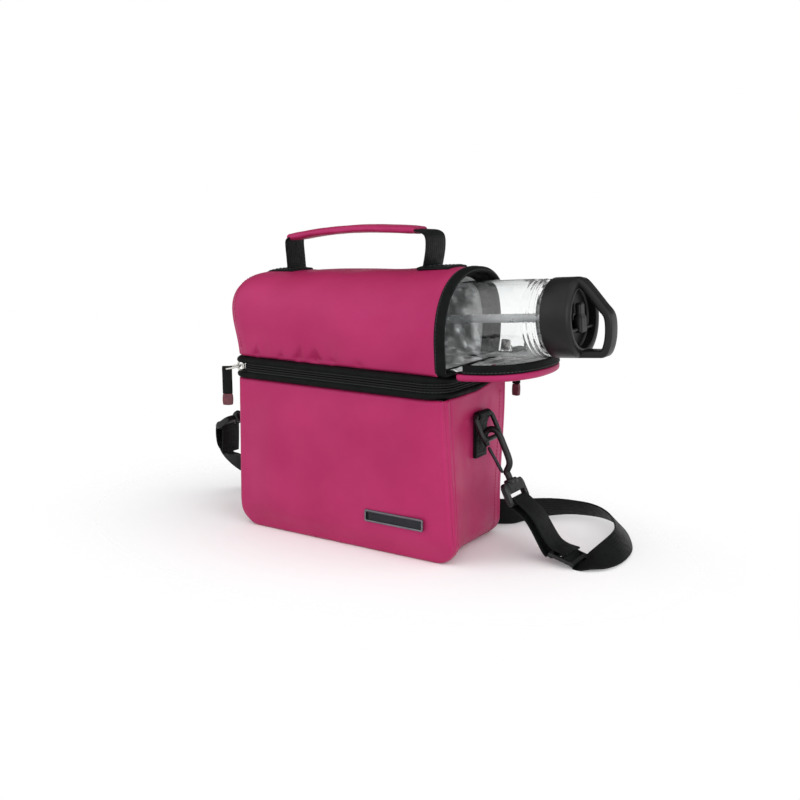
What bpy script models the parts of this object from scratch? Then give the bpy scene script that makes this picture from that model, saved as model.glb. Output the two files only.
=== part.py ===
# Insulated two-compartment lunch bag with a flip-spout bottle lying in its top compartment.
# Metres, +Z up. X runs along the bag towards the open end, -Y is the front,
# and the origin is the middle of the underside.
import math

import bmesh
import bpy
from mathutils import Matrix, Vector

MM = 0.001

# Bag shell
BAG_LENGTH = 220 * MM      # along the zip
BAG_DEPTH = 116 * MM       # front seam to back seam
LOWER_HEIGHT = 143 * MM    # floor to the zip band
ZIP_HEIGHT = 20 * MM       # both zip tapes together
DOME_HEIGHT = 87 * MM      # zip band to the ridge
WALL = 6 * MM              # fabric and foam
FOIL = 1.2 * MM            # foil lining
BOARD = 2 * MM             # stiffener under the lining
CLEAR = 0.3 * MM           # gap between pieces that touch
BASE_CORNER = 17 * MM      # bottom corners of the front outline
EDGE = 4 * MM              # rounded seam edges
CROWN = 3 * MM             # bulge of the front and back panels
CROWN_RUN = 40 * MM        # distance over which a panel swells
INNER_CORNER = 4 * MM      # upright corners of the lining

# Main zip
ZIP_CORNER = 20 * MM       # plan corner of the zip band
TAPE_PROUD = 1.5 * MM      # band stands out from the shell
TAPE_DEPTH = 5 * MM        # band reaches in from the shell
TAPE_ROLL = 2 * MM         # rolled edges of the band
HINGE_STRIP = 4 * MM       # fabric hinge along the back

# Domed top compartment
SPRING = 29 * MM           # upright part of the dome wall
FOOT_TUCK = 2.5 * MM       # dome narrows to its foot
SQUARENESS = 2.3           # superellipse power of the dome section
RIDGE_FALL = 12 * MM       # ridge sinks towards the closed end
LEFT_BULGE = 8 * MM        # closed end stands past the zip
END_RUN = 14 * MM          # length of the rounded closed end
END_DROP = 7 * MM          # how far the dome draws in there
OPEN_SETBACK = 6 * MM      # open end stands back from the zip
BINDING_PROUD = 1 * MM
BINDING_DEPTH = 4 * MM
SILL = 3.5 * MM            # lower bar of the opening

# End flap
FLAP_THICK = 9 * MM
FLAP_START = 9 * MM        # free hinge fabric before the padded part
FLAP_SHY = 11.5 * MM       # flap is shorter than the opening
FLAP_NARROW = 3 * MM       # and narrower on each side
FLAP_TAPE = 8 * MM         # zip tape stands up round the flap
FLAP_TAPE_WALL = 2.5 * MM
HINGE_LAP = 7 * MM         # hinge fabric sewn over the flap
FABRIC = 1.2 * MM

# Carry handle
HANDLE_LEFT = -84 * MM     # where the legs rise from the ridge
HANDLE_RIGHT = 66 * MM
HANDLE_RISE = 30 * MM
HANDLE_WIDTH = 32 * MM
GRIP_WIDTH = 22 * MM       # webbing is gathered inside the sleeve
WEBBING = 2.2 * MM
FOOT_LENGTH = 24 * MM
SLEEVE_THICK = 5.2 * MM
SLEEVE_SIDE = 1.6 * MM     # sleeve stands wider than the webbing

# Name plate, left bare
PLATE_SIZE = (60 * MM, 11 * MM)
PLATE_THICK = 1.5 * MM
PLATE_FRAME = 1.2 * MM
PLATE_RIGHT = 15 * MM      # in from the right seam
PLATE_UP = 35 * MM

# Zip sliders and pullers
SLIDER_TURN = 213          # degrees: the main slider rests on the front left corner
SLIDER_SIZE = (2.2 * MM, 11 * MM, 13 * MM)
BAIL_REACH = 4.4 * MM
BAIL_WIRE = 1.0 * MM
LINK_SIZE = (12 * MM, 10 * MM)
LINK_WIRE = 0.8 * MM
TAB_SIZE = (3.6 * MM, 9 * MM, 26 * MM)
TAB_FOLD = 1 * MM          # tab turns over the link
TIP_LENGTH = 11 * MM
FLAP_SLIDER_UP = 12 * MM
PULLER_GAP = 0.8 * MM      # puller clears the side of the bag
LINK_STANDS = 90           # degrees: the main slider's link stands out, and its tab hangs clear of the bag

# Side rings, snap hooks and shoulder strap
TAB_Y = 6 * MM             # webbing tabs, behind the middle of the sides
TAB_DOWN = 21 * MM         # ring pivot below the zip band
TAB_LENGTH = 38 * MM
TAB_WIDTH = 20 * MM
TAB_WEB = 1.6 * MM
RING_SIZE = (30 * MM, 22 * MM)
RING_WIRE = 1.9 * MM
RING_CORNER = 4 * MM
HOOK_BEND = 7.5 * MM
HOOK_WIRE = 2.4 * MM
HOOK_LENGTH = 48 * MM      # bend to the end of the stem
RIVET_HEAD = 2 * MM        # head that holds the stem in the swivel eye
RIVET_STEP = 0.01 * MM
COLLAR_LENGTH = 6.5 * MM
COLLAR_RADIUS = 6 * MM
EYE_SIZE = (34 * MM, 22 * MM)
EYE_BAR = 4 * MM
GATE_WIRE = 1.6 * MM
RIGHT_HANG = -27           # degrees that each ring and hook lean out
LEFT_HANG = 57
STRAP_WIDTH = 25 * MM
STRAP_THICK = 1.6 * MM
FOLD = 3.9 * MM            # strap turns round the eye bar at this radius
GLIDE = Vector((197 * MM, 10 * MM, 7.5 * MM))
GLIDE_SLOPE = 15           # degrees
GLIDE_BAR = 3 * MM
GLIDE_WINDOW = 7 * MM

# Bottle
BOTTLE_RADIUS = 32.5 * MM
BOTTLE_WALL = 1.8 * MM
BOTTLE_TILT = 4.5          # degrees: heel on the floor, lid on the flap
HEEL_X = -3 * MM
BODY_LENGTH = 168 * MM     # heel to the first shoulder ring
COLLAR_BAND = 17 * MM      # ringed shoulder
GROOVE = 1.2 * MM          # depth of its three grooves
NECK_RADIUS = 28 * MM
NECK_LENGTH = 13 * MM
LID_RADIUS = 33 * MM
LID_LENGTH = 25 * MM
LID_CHAMFER = 4.5 * MM
LID_EDGE = 0.8 * MM
LID_CEILING = 3.5 * MM
RECESS_RADIUS = 25 * MM
STRAW_RADIUS = 3.6 * MM
STRAW_WALL = 0.8 * MM
LOOP_REACH = 25 * MM       # carry loop beyond the lid
LOOP_THICK = 6.5 * MM
LOOP_WIDTH = 15 * MM
LOOP_OFFSET = 1.5 * MM     # upper leg of the loop stands nearer the middle
SPOUT_SIZE = (24 * MM, 14 * MM, 7 * MM)
SPOUT_BORE = 2 * MM
PIN_RADIUS = 1.5 * MM
SEAL_WIDTH = 4 * MM

# Derived levels
TAB_TOP = LOWER_HEIGHT - TAB_DOWN
ZIP_MID = LOWER_HEIGHT + ZIP_HEIGHT / 2
ZIP_TOP = LOWER_HEIGHT + ZIP_HEIGHT
RIDGE = ZIP_TOP + DOME_HEIGHT
DOME_LEFT = -(BAG_LENGTH / 2 + LEFT_BULGE - WALL)
DOME_RIGHT = BAG_LENGTH / 2 - OPEN_SETBACK
RIDGE_SLOPE = RIDGE_FALL / (DOME_RIGHT - DOME_LEFT)
LINING_FLOOR = ZIP_TOP + CLEAR + FOIL
FLAP_HINGE_X = BAG_LENGTH / 2 + TAPE_PROUD + CLEAR
FLAP_HINGE_Z = ZIP_TOP + SILL
FLAP_LENGTH = DOME_HEIGHT - SILL - FLAP_SHY
BACK_HINGE_Y = BAG_DEPTH / 2 + CLEAR
EYE_RADIUS = RING_WIRE + CLEAR + TAB_WEB
EYE_DROP = RING_SIZE[1] + HOOK_LENGTH - COLLAR_LENGTH - CLEAR
BAR_DROP = EYE_DROP + EYE_SIZE[1] - EYE_BAR / 2
LID_BASE = BODY_LENGTH + COLLAR_BAND + 3 * MM
LID_TOP = LID_BASE + LID_LENGTH
RECESS_FLOOR = LID_BASE + NECK_LENGTH + LID_CEILING

CORNER_STEPS = 7
ARCH_STEPS = 20
ROUND_SIDES = 40
WIRE_SIDES = 10


def finish(name, colour, roughness, metallic=0.0, alpha=1.0):
    material = bpy.data.materials.new(name)
    material.use_nodes = True
    shader = material.node_tree.nodes["Principled BSDF"]
    shader.inputs["Base Color"].default_value = (*colour, 1.0)
    shader.inputs["Roughness"].default_value = roughness
    shader.inputs["Metallic"].default_value = metallic
    shader.inputs["Alpha"].default_value = alpha
    return material


def place(name, bm, material, parent=None):
    """Turn a finished bmesh into a named object."""
    mesh = bpy.data.meshes.new(name)
    bm.to_mesh(mesh)
    bm.free()
    mesh.materials.append(material)
    mesh.shade_smooth()
    mesh.set_sharp_from_angle(angle=math.radians(35))
    obj = bpy.data.objects.new(name, mesh)
    bpy.context.collection.objects.link(obj)
    obj.parent = parent
    return obj


def pivot(name, matrix, parent=None):
    """An empty on a joint axis, with the given place in its parent's frame."""
    empty = bpy.data.objects.new(name, None)
    bpy.context.collection.objects.link(empty)
    empty.parent = parent
    empty.matrix_local = matrix
    return empty


def carry(parent, names):
    """Hang finished pieces on a joint's empty without moving them."""
    for name in names:
        piece = bpy.data.objects[name]
        piece.parent = parent
        piece.matrix_parent_inverse = parent.matrix_basis.inverted()


def loft(name, rings, material, parent=None, looped=False):
    """Skin a row of equal rings. An open row is capped, a looped row closes on itself."""
    bm = bmesh.new()
    rows = [[bm.verts.new(point) for point in ring] for ring in rings]
    pairs = list(zip(rows, rows[1:]))
    if looped:
        pairs.append((rows[-1], rows[0]))
    else:
        bm.faces.new(rows[0])
        bm.faces.new(rows[-1])
    for low, high in pairs:
        for i, j in zip(range(len(low)), [*range(1, len(low)), 0]):
            bm.faces.new((low[i], low[j], high[j], high[i]))
    bmesh.ops.recalc_face_normals(bm, faces=bm.faces[:])
    return place(name, bm, material, parent)


def block(name, low, high, material, parent=None, rounding=0.0):
    bm = bmesh.new()
    bmesh.ops.create_cube(bm, size=1)
    low = Vector(low)
    high = Vector(high)
    bmesh.ops.scale(bm, vec=high - low, verts=bm.verts)
    bmesh.ops.translate(bm, vec=(low + high) / 2, verts=bm.verts)
    if rounding:
        bmesh.ops.bevel(bm, geom=bm.edges[:], offset=rounding, segments=2, profile=0.5, affect="EDGES")
    return place(name, bm, material, parent)


def turned(name, profile, material, parent=None, looped=False):
    """Turn (radius, z) points about Z: an open profile is capped at both ends."""
    turns = [math.tau * k / ROUND_SIDES for k in range(ROUND_SIDES)]
    rings = [[(r * math.cos(a), r * math.sin(a), z) for a in turns] for r, z in profile]
    return loft(name, rings, material, parent, looped)


def drum(name, start, end, radius, material, parent=None):
    """A plain round rod between two points."""
    ends = [Vector(start), Vector(end)]
    return tube(name, ends, [radius] * 2, (ends[1] - ends[0]).orthogonal(), material, parent)


def combine(target, tool, operation):
    """Cut a tool from the target, or join it on, and hide the tool."""
    tool.hide_render = True
    tool.display_type = "WIRE"
    modifier = target.modifiers.new(tool.name, "BOOLEAN")
    modifier.operation = operation
    modifier.object = tool
    modifier.solver = "EXACT"


def arc(centre, radius, start, stop, steps=CORNER_STEPS):
    """Points on a circle between two angles in degrees."""
    turns = [math.radians(start + (stop - start) * k / (steps - 1)) for k in range(steps)]
    return [(centre[0] + radius * math.cos(a), centre[1] + radius * math.sin(a)) for a in turns]


def rounded_rectangle(half_u, half_v, corner, steps=CORNER_STEPS):
    points = []
    for start, side_u, side_v in ((0, 1, 1), (90, -1, 1), (180, -1, -1), (270, 1, -1)):
        centre = (side_u * (half_u - corner), side_v * (half_v - corner))
        points += arc(centre, corner, start, start + 90, steps)
    return points


def smooth_route(points, steps):
    """A Catmull-Rom curve through points of any length, with the given steps between them."""
    route = []
    padded = [points[0], *points, points[-1]]
    for p, q, r, s in zip(padded, padded[1:], padded[2:], padded[3:]):
        for k in range(steps):
            t = k / steps
            spline = [2 * b + (c - a) * t + (2 * a - 5 * b + 4 * c - d) * t ** 2
                      + (3 * b - a - 3 * c + d) * t ** 3 for a, b, c, d in zip(p, q, r, s)]
            route.append([value / 2 for value in spline])
    route.append(list(points[-1]))
    return route


def frames(points, across, looped=False):
    """Tangent, width and normal along a route; the width stays close to the wanted direction."""
    count = len(points)
    result = []
    for i, point in enumerate(points):
        ahead = points[(i + 1) % count] if looped else points[min(i + 1, count - 1)]
        behind = points[i - 1] if looped else points[max(i - 1, 0)]
        tangent = (ahead - behind).normalized()
        width = across[i] - tangent * across[i].dot(tangent)
        width.normalize()
        result.append((point, width, tangent.cross(width)))
    return result


def tube(name, points, radii, across, material, parent=None, looped=False):
    """A round bar of changing radius along a route."""
    turns = [math.tau * k / WIRE_SIDES for k in range(WIRE_SIDES)]
    rows = frames(points, [Vector(across)] * len(points), looped)
    rings = [[p + radius * (math.cos(a) * u + math.sin(a) * v) for a in turns]
             for (p, u, v), radius in zip(rows, radii)]
    return loft(name, rings, material, parent, looped)


def ribbon(name, points, across, widths, thickness, material, parent=None):
    """A flat webbing along a route, with a width for each point."""
    rings = []
    for (p, u, v), width in zip(frames(points, across), widths):
        half = u * (width / 2)
        skin = v * (thickness / 2)
        rings.append([p - half - skin, p + half - skin, p + half + skin, p - half + skin])
    return loft(name, rings, material, parent)


# Lower compartment

def lower_outline(inset, top):
    """Front view of the lower compartment as (x, z), moved in by inset, from top left to top right."""
    half = BAG_LENGTH / 2 - inset
    corner = max(BASE_CORNER - inset, EDGE)
    left = arc((-half + corner, inset + corner), corner, 180, 270)
    right = arc((half - corner, inset + corner), corner, 270, 360)
    return [(-half, top), *left, *right, (half, top)]


def lower_panel(name, side, material):
    """Front (side -1) or back (side +1) panel: a rounded edge, then a gentle swelling."""
    rows = [(BAG_DEPTH / 2 - WALL, 0.0)]
    for turn in (0, 30, 60, 90):
        a = math.radians(turn)
        rows.append((BAG_DEPTH / 2 - EDGE + EDGE * math.sin(a), EDGE * (1 - math.cos(a))))
    for share in (0.3, 0.6, 1.0):
        swell = CROWN * math.sin(share * math.pi / 2)
        rows.append((BAG_DEPTH / 2 + swell, EDGE + CROWN_RUN * share))
    rings = []
    for depth, inset in rows:
        outline = lower_outline(inset, LOWER_HEIGHT - inset)
        rings.append([(x, side * depth, z) for x, z in outline])
    return loft(name, rings, material)


def lower_gusset(material):
    """One strip that runs down the left side, under the bag and up the right side."""
    outline = lower_outline(0, LOWER_HEIGHT) + lower_outline(WALL, LOWER_HEIGHT)[::-1]
    half = BAG_DEPTH / 2 - WALL - CLEAR
    return loft("lower_gusset", [[(x, y, z) for x, z in outline] for y in (-half, half)], material)


def lower_lining(material):
    """Foil tub: rings run up the outside to the rim and down the inside."""
    floor = WALL + BOARD + 2 * CLEAR
    corner = BASE_CORNER - WALL - CLEAR

    def wall(inset):
        half_x = BAG_LENGTH / 2 - WALL - CLEAR - inset
        half_y = BAG_DEPTH / 2 - WALL - CLEAR - inset
        curve = arc((half_x - corner + inset, floor + corner), corner - inset, 270, 360)
        return [[(x, y, z) for x, y in rounded_rectangle(reach, half_y, INNER_CORNER, 4)]
                for reach, z in [*curve, (half_x, LOWER_HEIGHT)]]

    return loft("lower_lining", wall(0) + wall(FOIL)[::-1], material)


def zip_line(offset):
    """Plan of the zip round the left side, front and right side, moved out by offset."""
    half_x = BAG_LENGTH / 2 + offset
    half_y = BAG_DEPTH / 2 + offset
    corner = ZIP_CORNER + offset
    back = BAG_DEPTH / 2 - HINGE_STRIP - CLEAR
    left = arc((-half_x + corner, -half_y + corner), corner, 180, 270, 9)
    right = arc((half_x - corner, -half_y + corner), corner, 270, 360, 9)
    return [(-half_x, back), *left, *right, (half_x, back)]


def zip_tape(name, low, high, material):
    """Half of the zip band, with a rolled outer edge above and below."""
    shoulder = 0.3 * TAPE_ROLL
    profile = [(-TAPE_DEPTH, low), (TAPE_PROUD - TAPE_ROLL, low), (TAPE_PROUD - shoulder, low + shoulder),
               (TAPE_PROUD, low + TAPE_ROLL), (TAPE_PROUD, high - TAPE_ROLL),
               (TAPE_PROUD - shoulder, high - shoulder), (TAPE_PROUD - TAPE_ROLL, high),
               (-TAPE_DEPTH, high)]
    columns = [[(x, y, z) for x, y in zip_line(offset)] for offset, z in profile]
    return loft(name, list(zip(*columns)), material)


def hinge_strip(name, low, high, material):
    """Fabric along the back fold; the fold line divides it into a lower and an upper half."""
    half = BAG_LENGTH / 2 - TAPE_DEPTH / 2
    return block(name, (-half, BAG_DEPTH / 2 - HINGE_STRIP, low), (half, BAG_DEPTH / 2, high), material)


def name_plate(material):
    """Bare metal plate with a raised frame."""
    middle = Vector((BAG_LENGTH / 2 - PLATE_RIGHT - PLATE_SIZE[0] / 2, 0, PLATE_UP))
    face = BAG_DEPTH / 2 + CROWN + CLEAR
    corner = 1.5 * PLATE_FRAME
    rings = []
    half_x, half_z = PLATE_SIZE[0] / 2, PLATE_SIZE[1] / 2
    for inset, depth in ((0, 0), (0, 0.7), (0.3, 1.0), (1.0, 1.0), (1.3, 0.6)):
        step = inset * PLATE_FRAME
        outline = rounded_rectangle(half_x - step, half_z - step, corner - step / 2, 4)
        rings.append([middle + Vector((x, -face - depth * PLATE_THICK, z)) for x, z in outline])
    return loft("name_plate", rings, material)


# Top compartment

def ridge_fall(x):
    """How far the ridge has sunk below its height at the open end."""
    return RIDGE_SLOPE * (DOME_RIGHT - x)


def arch(inset, foot, shrink=0.0, fall=0.0):
    """Dome section as (y, z), from the front foot over the ridge to the back foot."""
    half_foot = BAG_DEPTH / 2 - FOOT_TUCK - inset - shrink
    half = BAG_DEPTH / 2 - inset - shrink
    rise = DOME_HEIGHT - SPRING - inset - shrink - fall
    power = 2 / SQUARENESS
    points = [(-half_foot, foot)]
    for k in range(ARCH_STEPS + 1):
        a = math.pi * (1 - k / ARCH_STEPS)
        y = math.copysign(abs(math.cos(a)) ** power, math.cos(a))
        points.append((half * y, ZIP_TOP + SPRING + rise * abs(math.sin(a)) ** power))
    return points + [(half_foot, foot)]


def dome_stations(turns):
    """(x, shrink) along the rounded closed end, from the given angles of its quarter ellipse."""
    return [(DOME_LEFT + END_RUN * (1 - math.sin(math.radians(a))),
             END_DROP * (1 - math.cos(math.radians(a)))) for a in turns]


def dome_panel(material):
    stations = dome_stations((90, 75, 60, 45, 30, 15, 0)) + [(DOME_RIGHT, 0.0)]
    foot = ZIP_TOP + CLEAR
    rings = []
    for x, shrink in stations:
        fall = ridge_fall(x)
        section = arch(WALL, foot, shrink, fall) + arch(0, foot, shrink, fall)[::-1]
        rings.append([(x, y, z) for y, z in section])
    return loft("dome_panel", rings, material)


def dome_left_end(material):
    rings = []
    for depth, extra in ((0.0, 0.0), (0.35, 0.05), (0.7, 0.3), (0.9, 0.7), (1.0, 1.4)):
        section = arch(0, ZIP_TOP + CLEAR, END_DROP + extra * WALL, RIDGE_FALL)
        rings.append([(DOME_LEFT - CLEAR - depth * WALL, y, z) for y, z in section])
    return loft("dome_left_end", rings, material)


def upper_lining(material):
    """Foil tunnel, closed at the left: rings run out along the outside and back along the inside."""
    stations = dome_stations((60, 45, 30, 15, 0)) + [(DOME_RIGHT, 0.0)]
    outer = [[(x, y, z) for y, z in arch(WALL + CLEAR, LINING_FLOOR - FOIL, shrink, ridge_fall(x))]
             for x, shrink in stations]
    closed_end = (stations[0][0] + FOIL, stations[0][1])
    inner = [[(x, y, z) for y, z in arch(WALL + CLEAR + FOIL, LINING_FLOOR, shrink, ridge_fall(x))]
             for x, shrink in [closed_end, *stations[1:]]]
    return loft("upper_lining", outer + inner[::-1], material)


def opening_tape(material):
    """Zip tape and sill round the open end."""
    outer = arch(-BINDING_PROUD, ZIP_TOP + CLEAR)
    inner = arch(BINDING_DEPTH, ZIP_TOP + SILL)
    ends = (DOME_RIGHT + CLEAR, FLAP_HINGE_X - CLEAR)
    rings = [[(ends[0], y, z) for y, z in outer], [(ends[1], y, z) for y, z in outer],
             [(ends[1], y, z) for y, z in inner], [(ends[0], y, z) for y, z in inner]]
    return loft("opening_zip_tape", rings, material, looped=True)


def divider_panel(material):
    half_x = BAG_LENGTH / 2 - TAPE_DEPTH - CLEAR
    half_y = BAG_DEPTH / 2 - TAPE_DEPTH - CLEAR
    outline = rounded_rectangle(half_x, half_y, ZIP_CORNER - TAPE_DEPTH)
    levels = (ZIP_MID + CLEAR, ZIP_TOP - CLEAR)
    return loft("divider_panel", [[(x, y, z) for x, y in outline] for z in levels], material)


def lid_lining(material):
    """Foil under the divider, seen when the lower compartment is open."""
    half_x = BAG_LENGTH / 2 - TAPE_DEPTH - WALL
    half_y = BAG_DEPTH / 2 - TAPE_DEPTH - WALL
    outline = rounded_rectangle(half_x, half_y, ZIP_CORNER - TAPE_DEPTH)
    levels = (ZIP_MID - FOIL, ZIP_MID)
    return loft("lid_lining", [[(x, y, z) for x, y in outline] for z in levels], material)


# End flap, drawn in its hinge frame: X along the flap, Z towards its foil side

def flap_outline(inset, base):
    """D-shaped plan of the flap as (x, y), matching the dome section that it closes."""
    half = BAG_DEPTH / 2 - FLAP_NARROW - inset
    spring = SPRING - SILL
    reach = FLAP_LENGTH - spring - inset
    power = 2 / SQUARENESS
    points = [(base, -half)]
    for k in range(ARCH_STEPS + 1):
        a = math.pi * (k / ARCH_STEPS - 0.5)
        y = math.copysign(abs(math.sin(a)) ** power, math.sin(a))
        points.append((spring + reach * abs(math.cos(a)) ** power, half * y))
    return points + [(base, half)]


def rest_angle():
    """Flap angle at which the tip of its tape carries the lid of the leaning bottle."""
    slope = math.tan(math.radians(BOTTLE_TILT))
    under_lid = (LID_RADIUS - BOTTLE_RADIUS) / math.cos(math.radians(BOTTLE_TILT))
    low, high = math.radians(-30), math.radians(45)
    for _ in range(40):
        angle = (low + high) / 2
        x = FLAP_HINGE_X + FLAP_LENGTH * math.cos(angle) - FLAP_TAPE * math.sin(angle)
        z = FLAP_HINGE_Z + FLAP_LENGTH * math.sin(angle) + FLAP_TAPE * math.cos(angle)
        lid = LINING_FLOOR + CLEAR + (x - HEEL_X) * slope - under_lid - CLEAR
        low, high = (angle, high) if z < lid else (low, angle)
    return low


def end_flap(fabric, foil, black):
    angle = rest_angle()
    hinge = pivot("end_flap_hinge", Matrix.Translation((FLAP_HINGE_X, 0, FLAP_HINGE_Z))
                  @ Matrix.Rotation(-angle, 4, "Y"))
    rings = []
    for turn in (90, 60, 30, 0):
        a = math.radians(turn)
        inset = EDGE * (1 - math.cos(a))
        z = -FLAP_THICK + EDGE * (1 - math.sin(a))
        rings.append([(x, y, z) for x, y in flap_outline(inset, FLAP_START + inset)])
    rings.append([(x, y, 0) for x, y in flap_outline(0, FLAP_START)])
    loft("flap_panel", rings, fabric, hinge)
    lap = FLAP_START + HINGE_LAP
    half = BAG_DEPTH / 2 - FLAP_NARROW - FLAP_TAPE_WALL - WALL
    block("flap_hinge_strip", (CLEAR, -half, CLEAR), (lap, half, CLEAR + FABRIC), fabric, hinge)
    sheet = flap_outline(FLAP_TAPE_WALL + CLEAR, lap + CLEAR)
    loft("flap_lining", [[(x, y, z) for x, y in sheet] for z in (CLEAR, CLEAR + FOIL)], foil, hinge)
    rim = flap_outline(0, lap + CLEAR) + flap_outline(FLAP_TAPE_WALL, lap + CLEAR)[::-1]
    loft("flap_zip_tape", [[(x, y, z) for x, y in rim] for z in (CLEAR, FLAP_TAPE)], black, hinge)


# Carry handle

def handle_feet(material):
    """Webbing ends sewn flat along the ridge; the left one follows the rounded end."""
    left = [(HANDLE_LEFT + FOOT_LENGTH / 4, 0.0)] + dome_stations((0, 15, 30, 45, 60))
    right = [(HANDLE_RIGHT - FOOT_LENGTH / 4, 0.0), (HANDLE_RIGHT + FOOT_LENGTH, 0.0)]
    half = HANDLE_WIDTH / 2
    for name, path in (("handle_foot_left", left), ("handle_foot_right", right)):
        rings = []
        for x, drop in path:
            low = RIDGE - ridge_fall(x) - drop + CLEAR
            top = low + WEBBING
            rings.append([(x, -half, low), (x, half, low), (x, half, top), (x, -half, top)])
        loft(name, rings, material)


def handle_route():
    """Side view of the webbing from its left foot, along the grip, to its right foot."""
    foot = WEBBING + 2 * CLEAR + WEBBING / 2
    rise = HANDLE_RISE
    left = foot - ridge_fall(HANDLE_LEFT)
    right = foot - ridge_fall(HANDLE_RIGHT)
    corners = [(HANDLE_LEFT, left), (HANDLE_LEFT - 2 * MM, 0.2 * rise),
               (HANDLE_LEFT - 4 * MM, 0.5 * rise),
               (HANDLE_LEFT + 2 * MM, 0.66 * rise), (HANDLE_LEFT + 34 * MM, 0.85 * rise),
               ((HANDLE_LEFT + HANDLE_RIGHT) / 2, rise), (HANDLE_RIGHT - 34 * MM, 1.02 * rise),
               (HANDLE_RIGHT - 5 * MM, 1.0 * rise), (HANDLE_RIGHT + 4 * MM, 0.8 * rise),
               (HANDLE_RIGHT + 3 * MM, 0.4 * rise), (HANDLE_RIGHT, right)]
    return [Vector((x, 0, RIDGE + z)) for x, z in smooth_route(corners, 4)]


def handle(webbing, fabric):
    along_ridge = Matrix.Rotation(-math.atan(RIDGE_SLOPE), 4, "Y")
    frame = Matrix.Translation((0, 0, RIDGE - ridge_fall(0))) @ along_ridge
    hinge = pivot("handle_hinge", frame)
    route = handle_route()
    local = [frame.inverted() @ point for point in route]
    sideways = Vector((0, 1, 0))
    sleeve_foot = RIDGE + 0.64 * HANDLE_RISE
    in_sleeve = [point.z > sleeve_foot and point.x < HANDLE_RIGHT - 12 * MM for point in route]
    widths = [GRIP_WIDTH if inside else HANDLE_WIDTH for inside in in_sleeve]
    ribbon("handle_webbing", local, [sideways] * len(local), widths, WEBBING, webbing, hinge)
    grip = [spot for spot, inside in zip(local, in_sleeve) if inside]
    sections = frames(grip, [sideways] * len(grip))

    def ring(row, half_width, half_thick):
        point, across, up = row
        outline = rounded_rectangle(half_width, half_thick, 0.9 * half_thick, 4)
        return [point + across * y + up * z for y, z in outline]

    outer = [ring(row, GRIP_WIDTH / 2 + SLEEVE_SIDE, SLEEVE_THICK / 2) for row in sections]
    inner = [ring(row, GRIP_WIDTH / 2 + 2 * CLEAR, WEBBING / 2 + CLEAR) for row in sections]
    loft("handle_sleeve", outer + inner[::-1], fabric, hinge, looped=True)


# Zip sliders, drawn in a frame whose X axis points out of the tape

def wire_loop(name, half_y, half_z, corner, wire, drop, material, parent, out=0.0):
    """A closed wire loop in the YZ plane that hangs from a bar through the frame's origin."""
    outline = rounded_rectangle(half_y, half_z, corner, 4)
    points = [Vector((out, y, z - drop)) for y, z in outline]
    return tube(name, points, [wire] * len(points), (1, 0, 0), material, parent, looped=True)


def zip_slider(prefix, frame, face, stands, metal, black, tip):
    """Slider plate with a bail, and on it a wire link, a webbing tab and a moulded tip.
    A tab that hangs from a standing link turns its edge to the bag."""
    thick, wide, tall = SLIDER_SIZE
    low = face + CLEAR
    plate = block(prefix + "_slider", (low, -wide / 2, -tall / 2), (low + thick, wide / 2, tall / 2),
                  metal, frame, rounding=0.25 * thick)
    crest = low + thick + BAIL_REACH
    root = low + thick / 2
    bow = [(root, tall * 0.36), (low + thick + 0.6 * BAIL_REACH, tall * 0.32), (crest, 0),
           (low + thick + 0.6 * BAIL_REACH, -tall * 0.32), (root, -tall * 0.36)]
    route = [Vector((x, 0, z)) for x, z in smooth_route(bow, 3)]
    bail = tube(prefix + "_bail", route, [BAIL_WIRE] * len(route), (0, 1, 0), metal, frame)
    combine(plate, bail, "UNION")
    bar = low + thick + (BAIL_REACH - BAIL_WIRE) / 2
    raised = math.radians(stands)
    in_bail = Matrix.Translation((bar, 0, 0))
    hinge = pivot(prefix + "_puller_hinge", in_bail @ Matrix.Rotation(-raised, 4, "Y"), frame)
    wire_loop(prefix + "_puller_link", LINK_SIZE[0] / 2, LINK_SIZE[1] / 2, 2.5 * LINK_WIRE, LINK_WIRE,
              LINK_SIZE[1] / 2, metal, hinge)
    far_wire = Matrix.Translation((0, 0, -LINK_SIZE[1]))
    hung = pivot(prefix + "_puller_hang", far_wire @ Matrix.Rotation(raised, 4, "Y"), hinge)
    eye = LINK_WIRE + CLEAR
    half_x, half_y = TAB_SIZE[0] / 2, TAB_SIZE[1] / 2
    if stands:
        half_x, half_y = half_y, half_x
    top = eye + TAB_FOLD
    end = top - TAB_SIZE[2]
    tab = block(prefix + "_puller_tab", (-half_x, -half_y, end), (half_x, half_y, top), black, hung,
                rounding=0.2 * TAB_SIZE[0])
    slot = block(prefix + "_tab_slot", (-eye, -2 * half_y, -eye), (eye, 2 * half_y, eye), black, hung)
    combine(tab, slot, "DIFFERENCE")
    block(prefix + "_puller_tip", (-1.2 * half_x, -1.1 * half_y, end - CLEAR - TIP_LENGTH),
          (1.2 * half_x, 1.1 * half_y, end - CLEAR), tip, hung, rounding=0.3 * TAB_SIZE[0])


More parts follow.
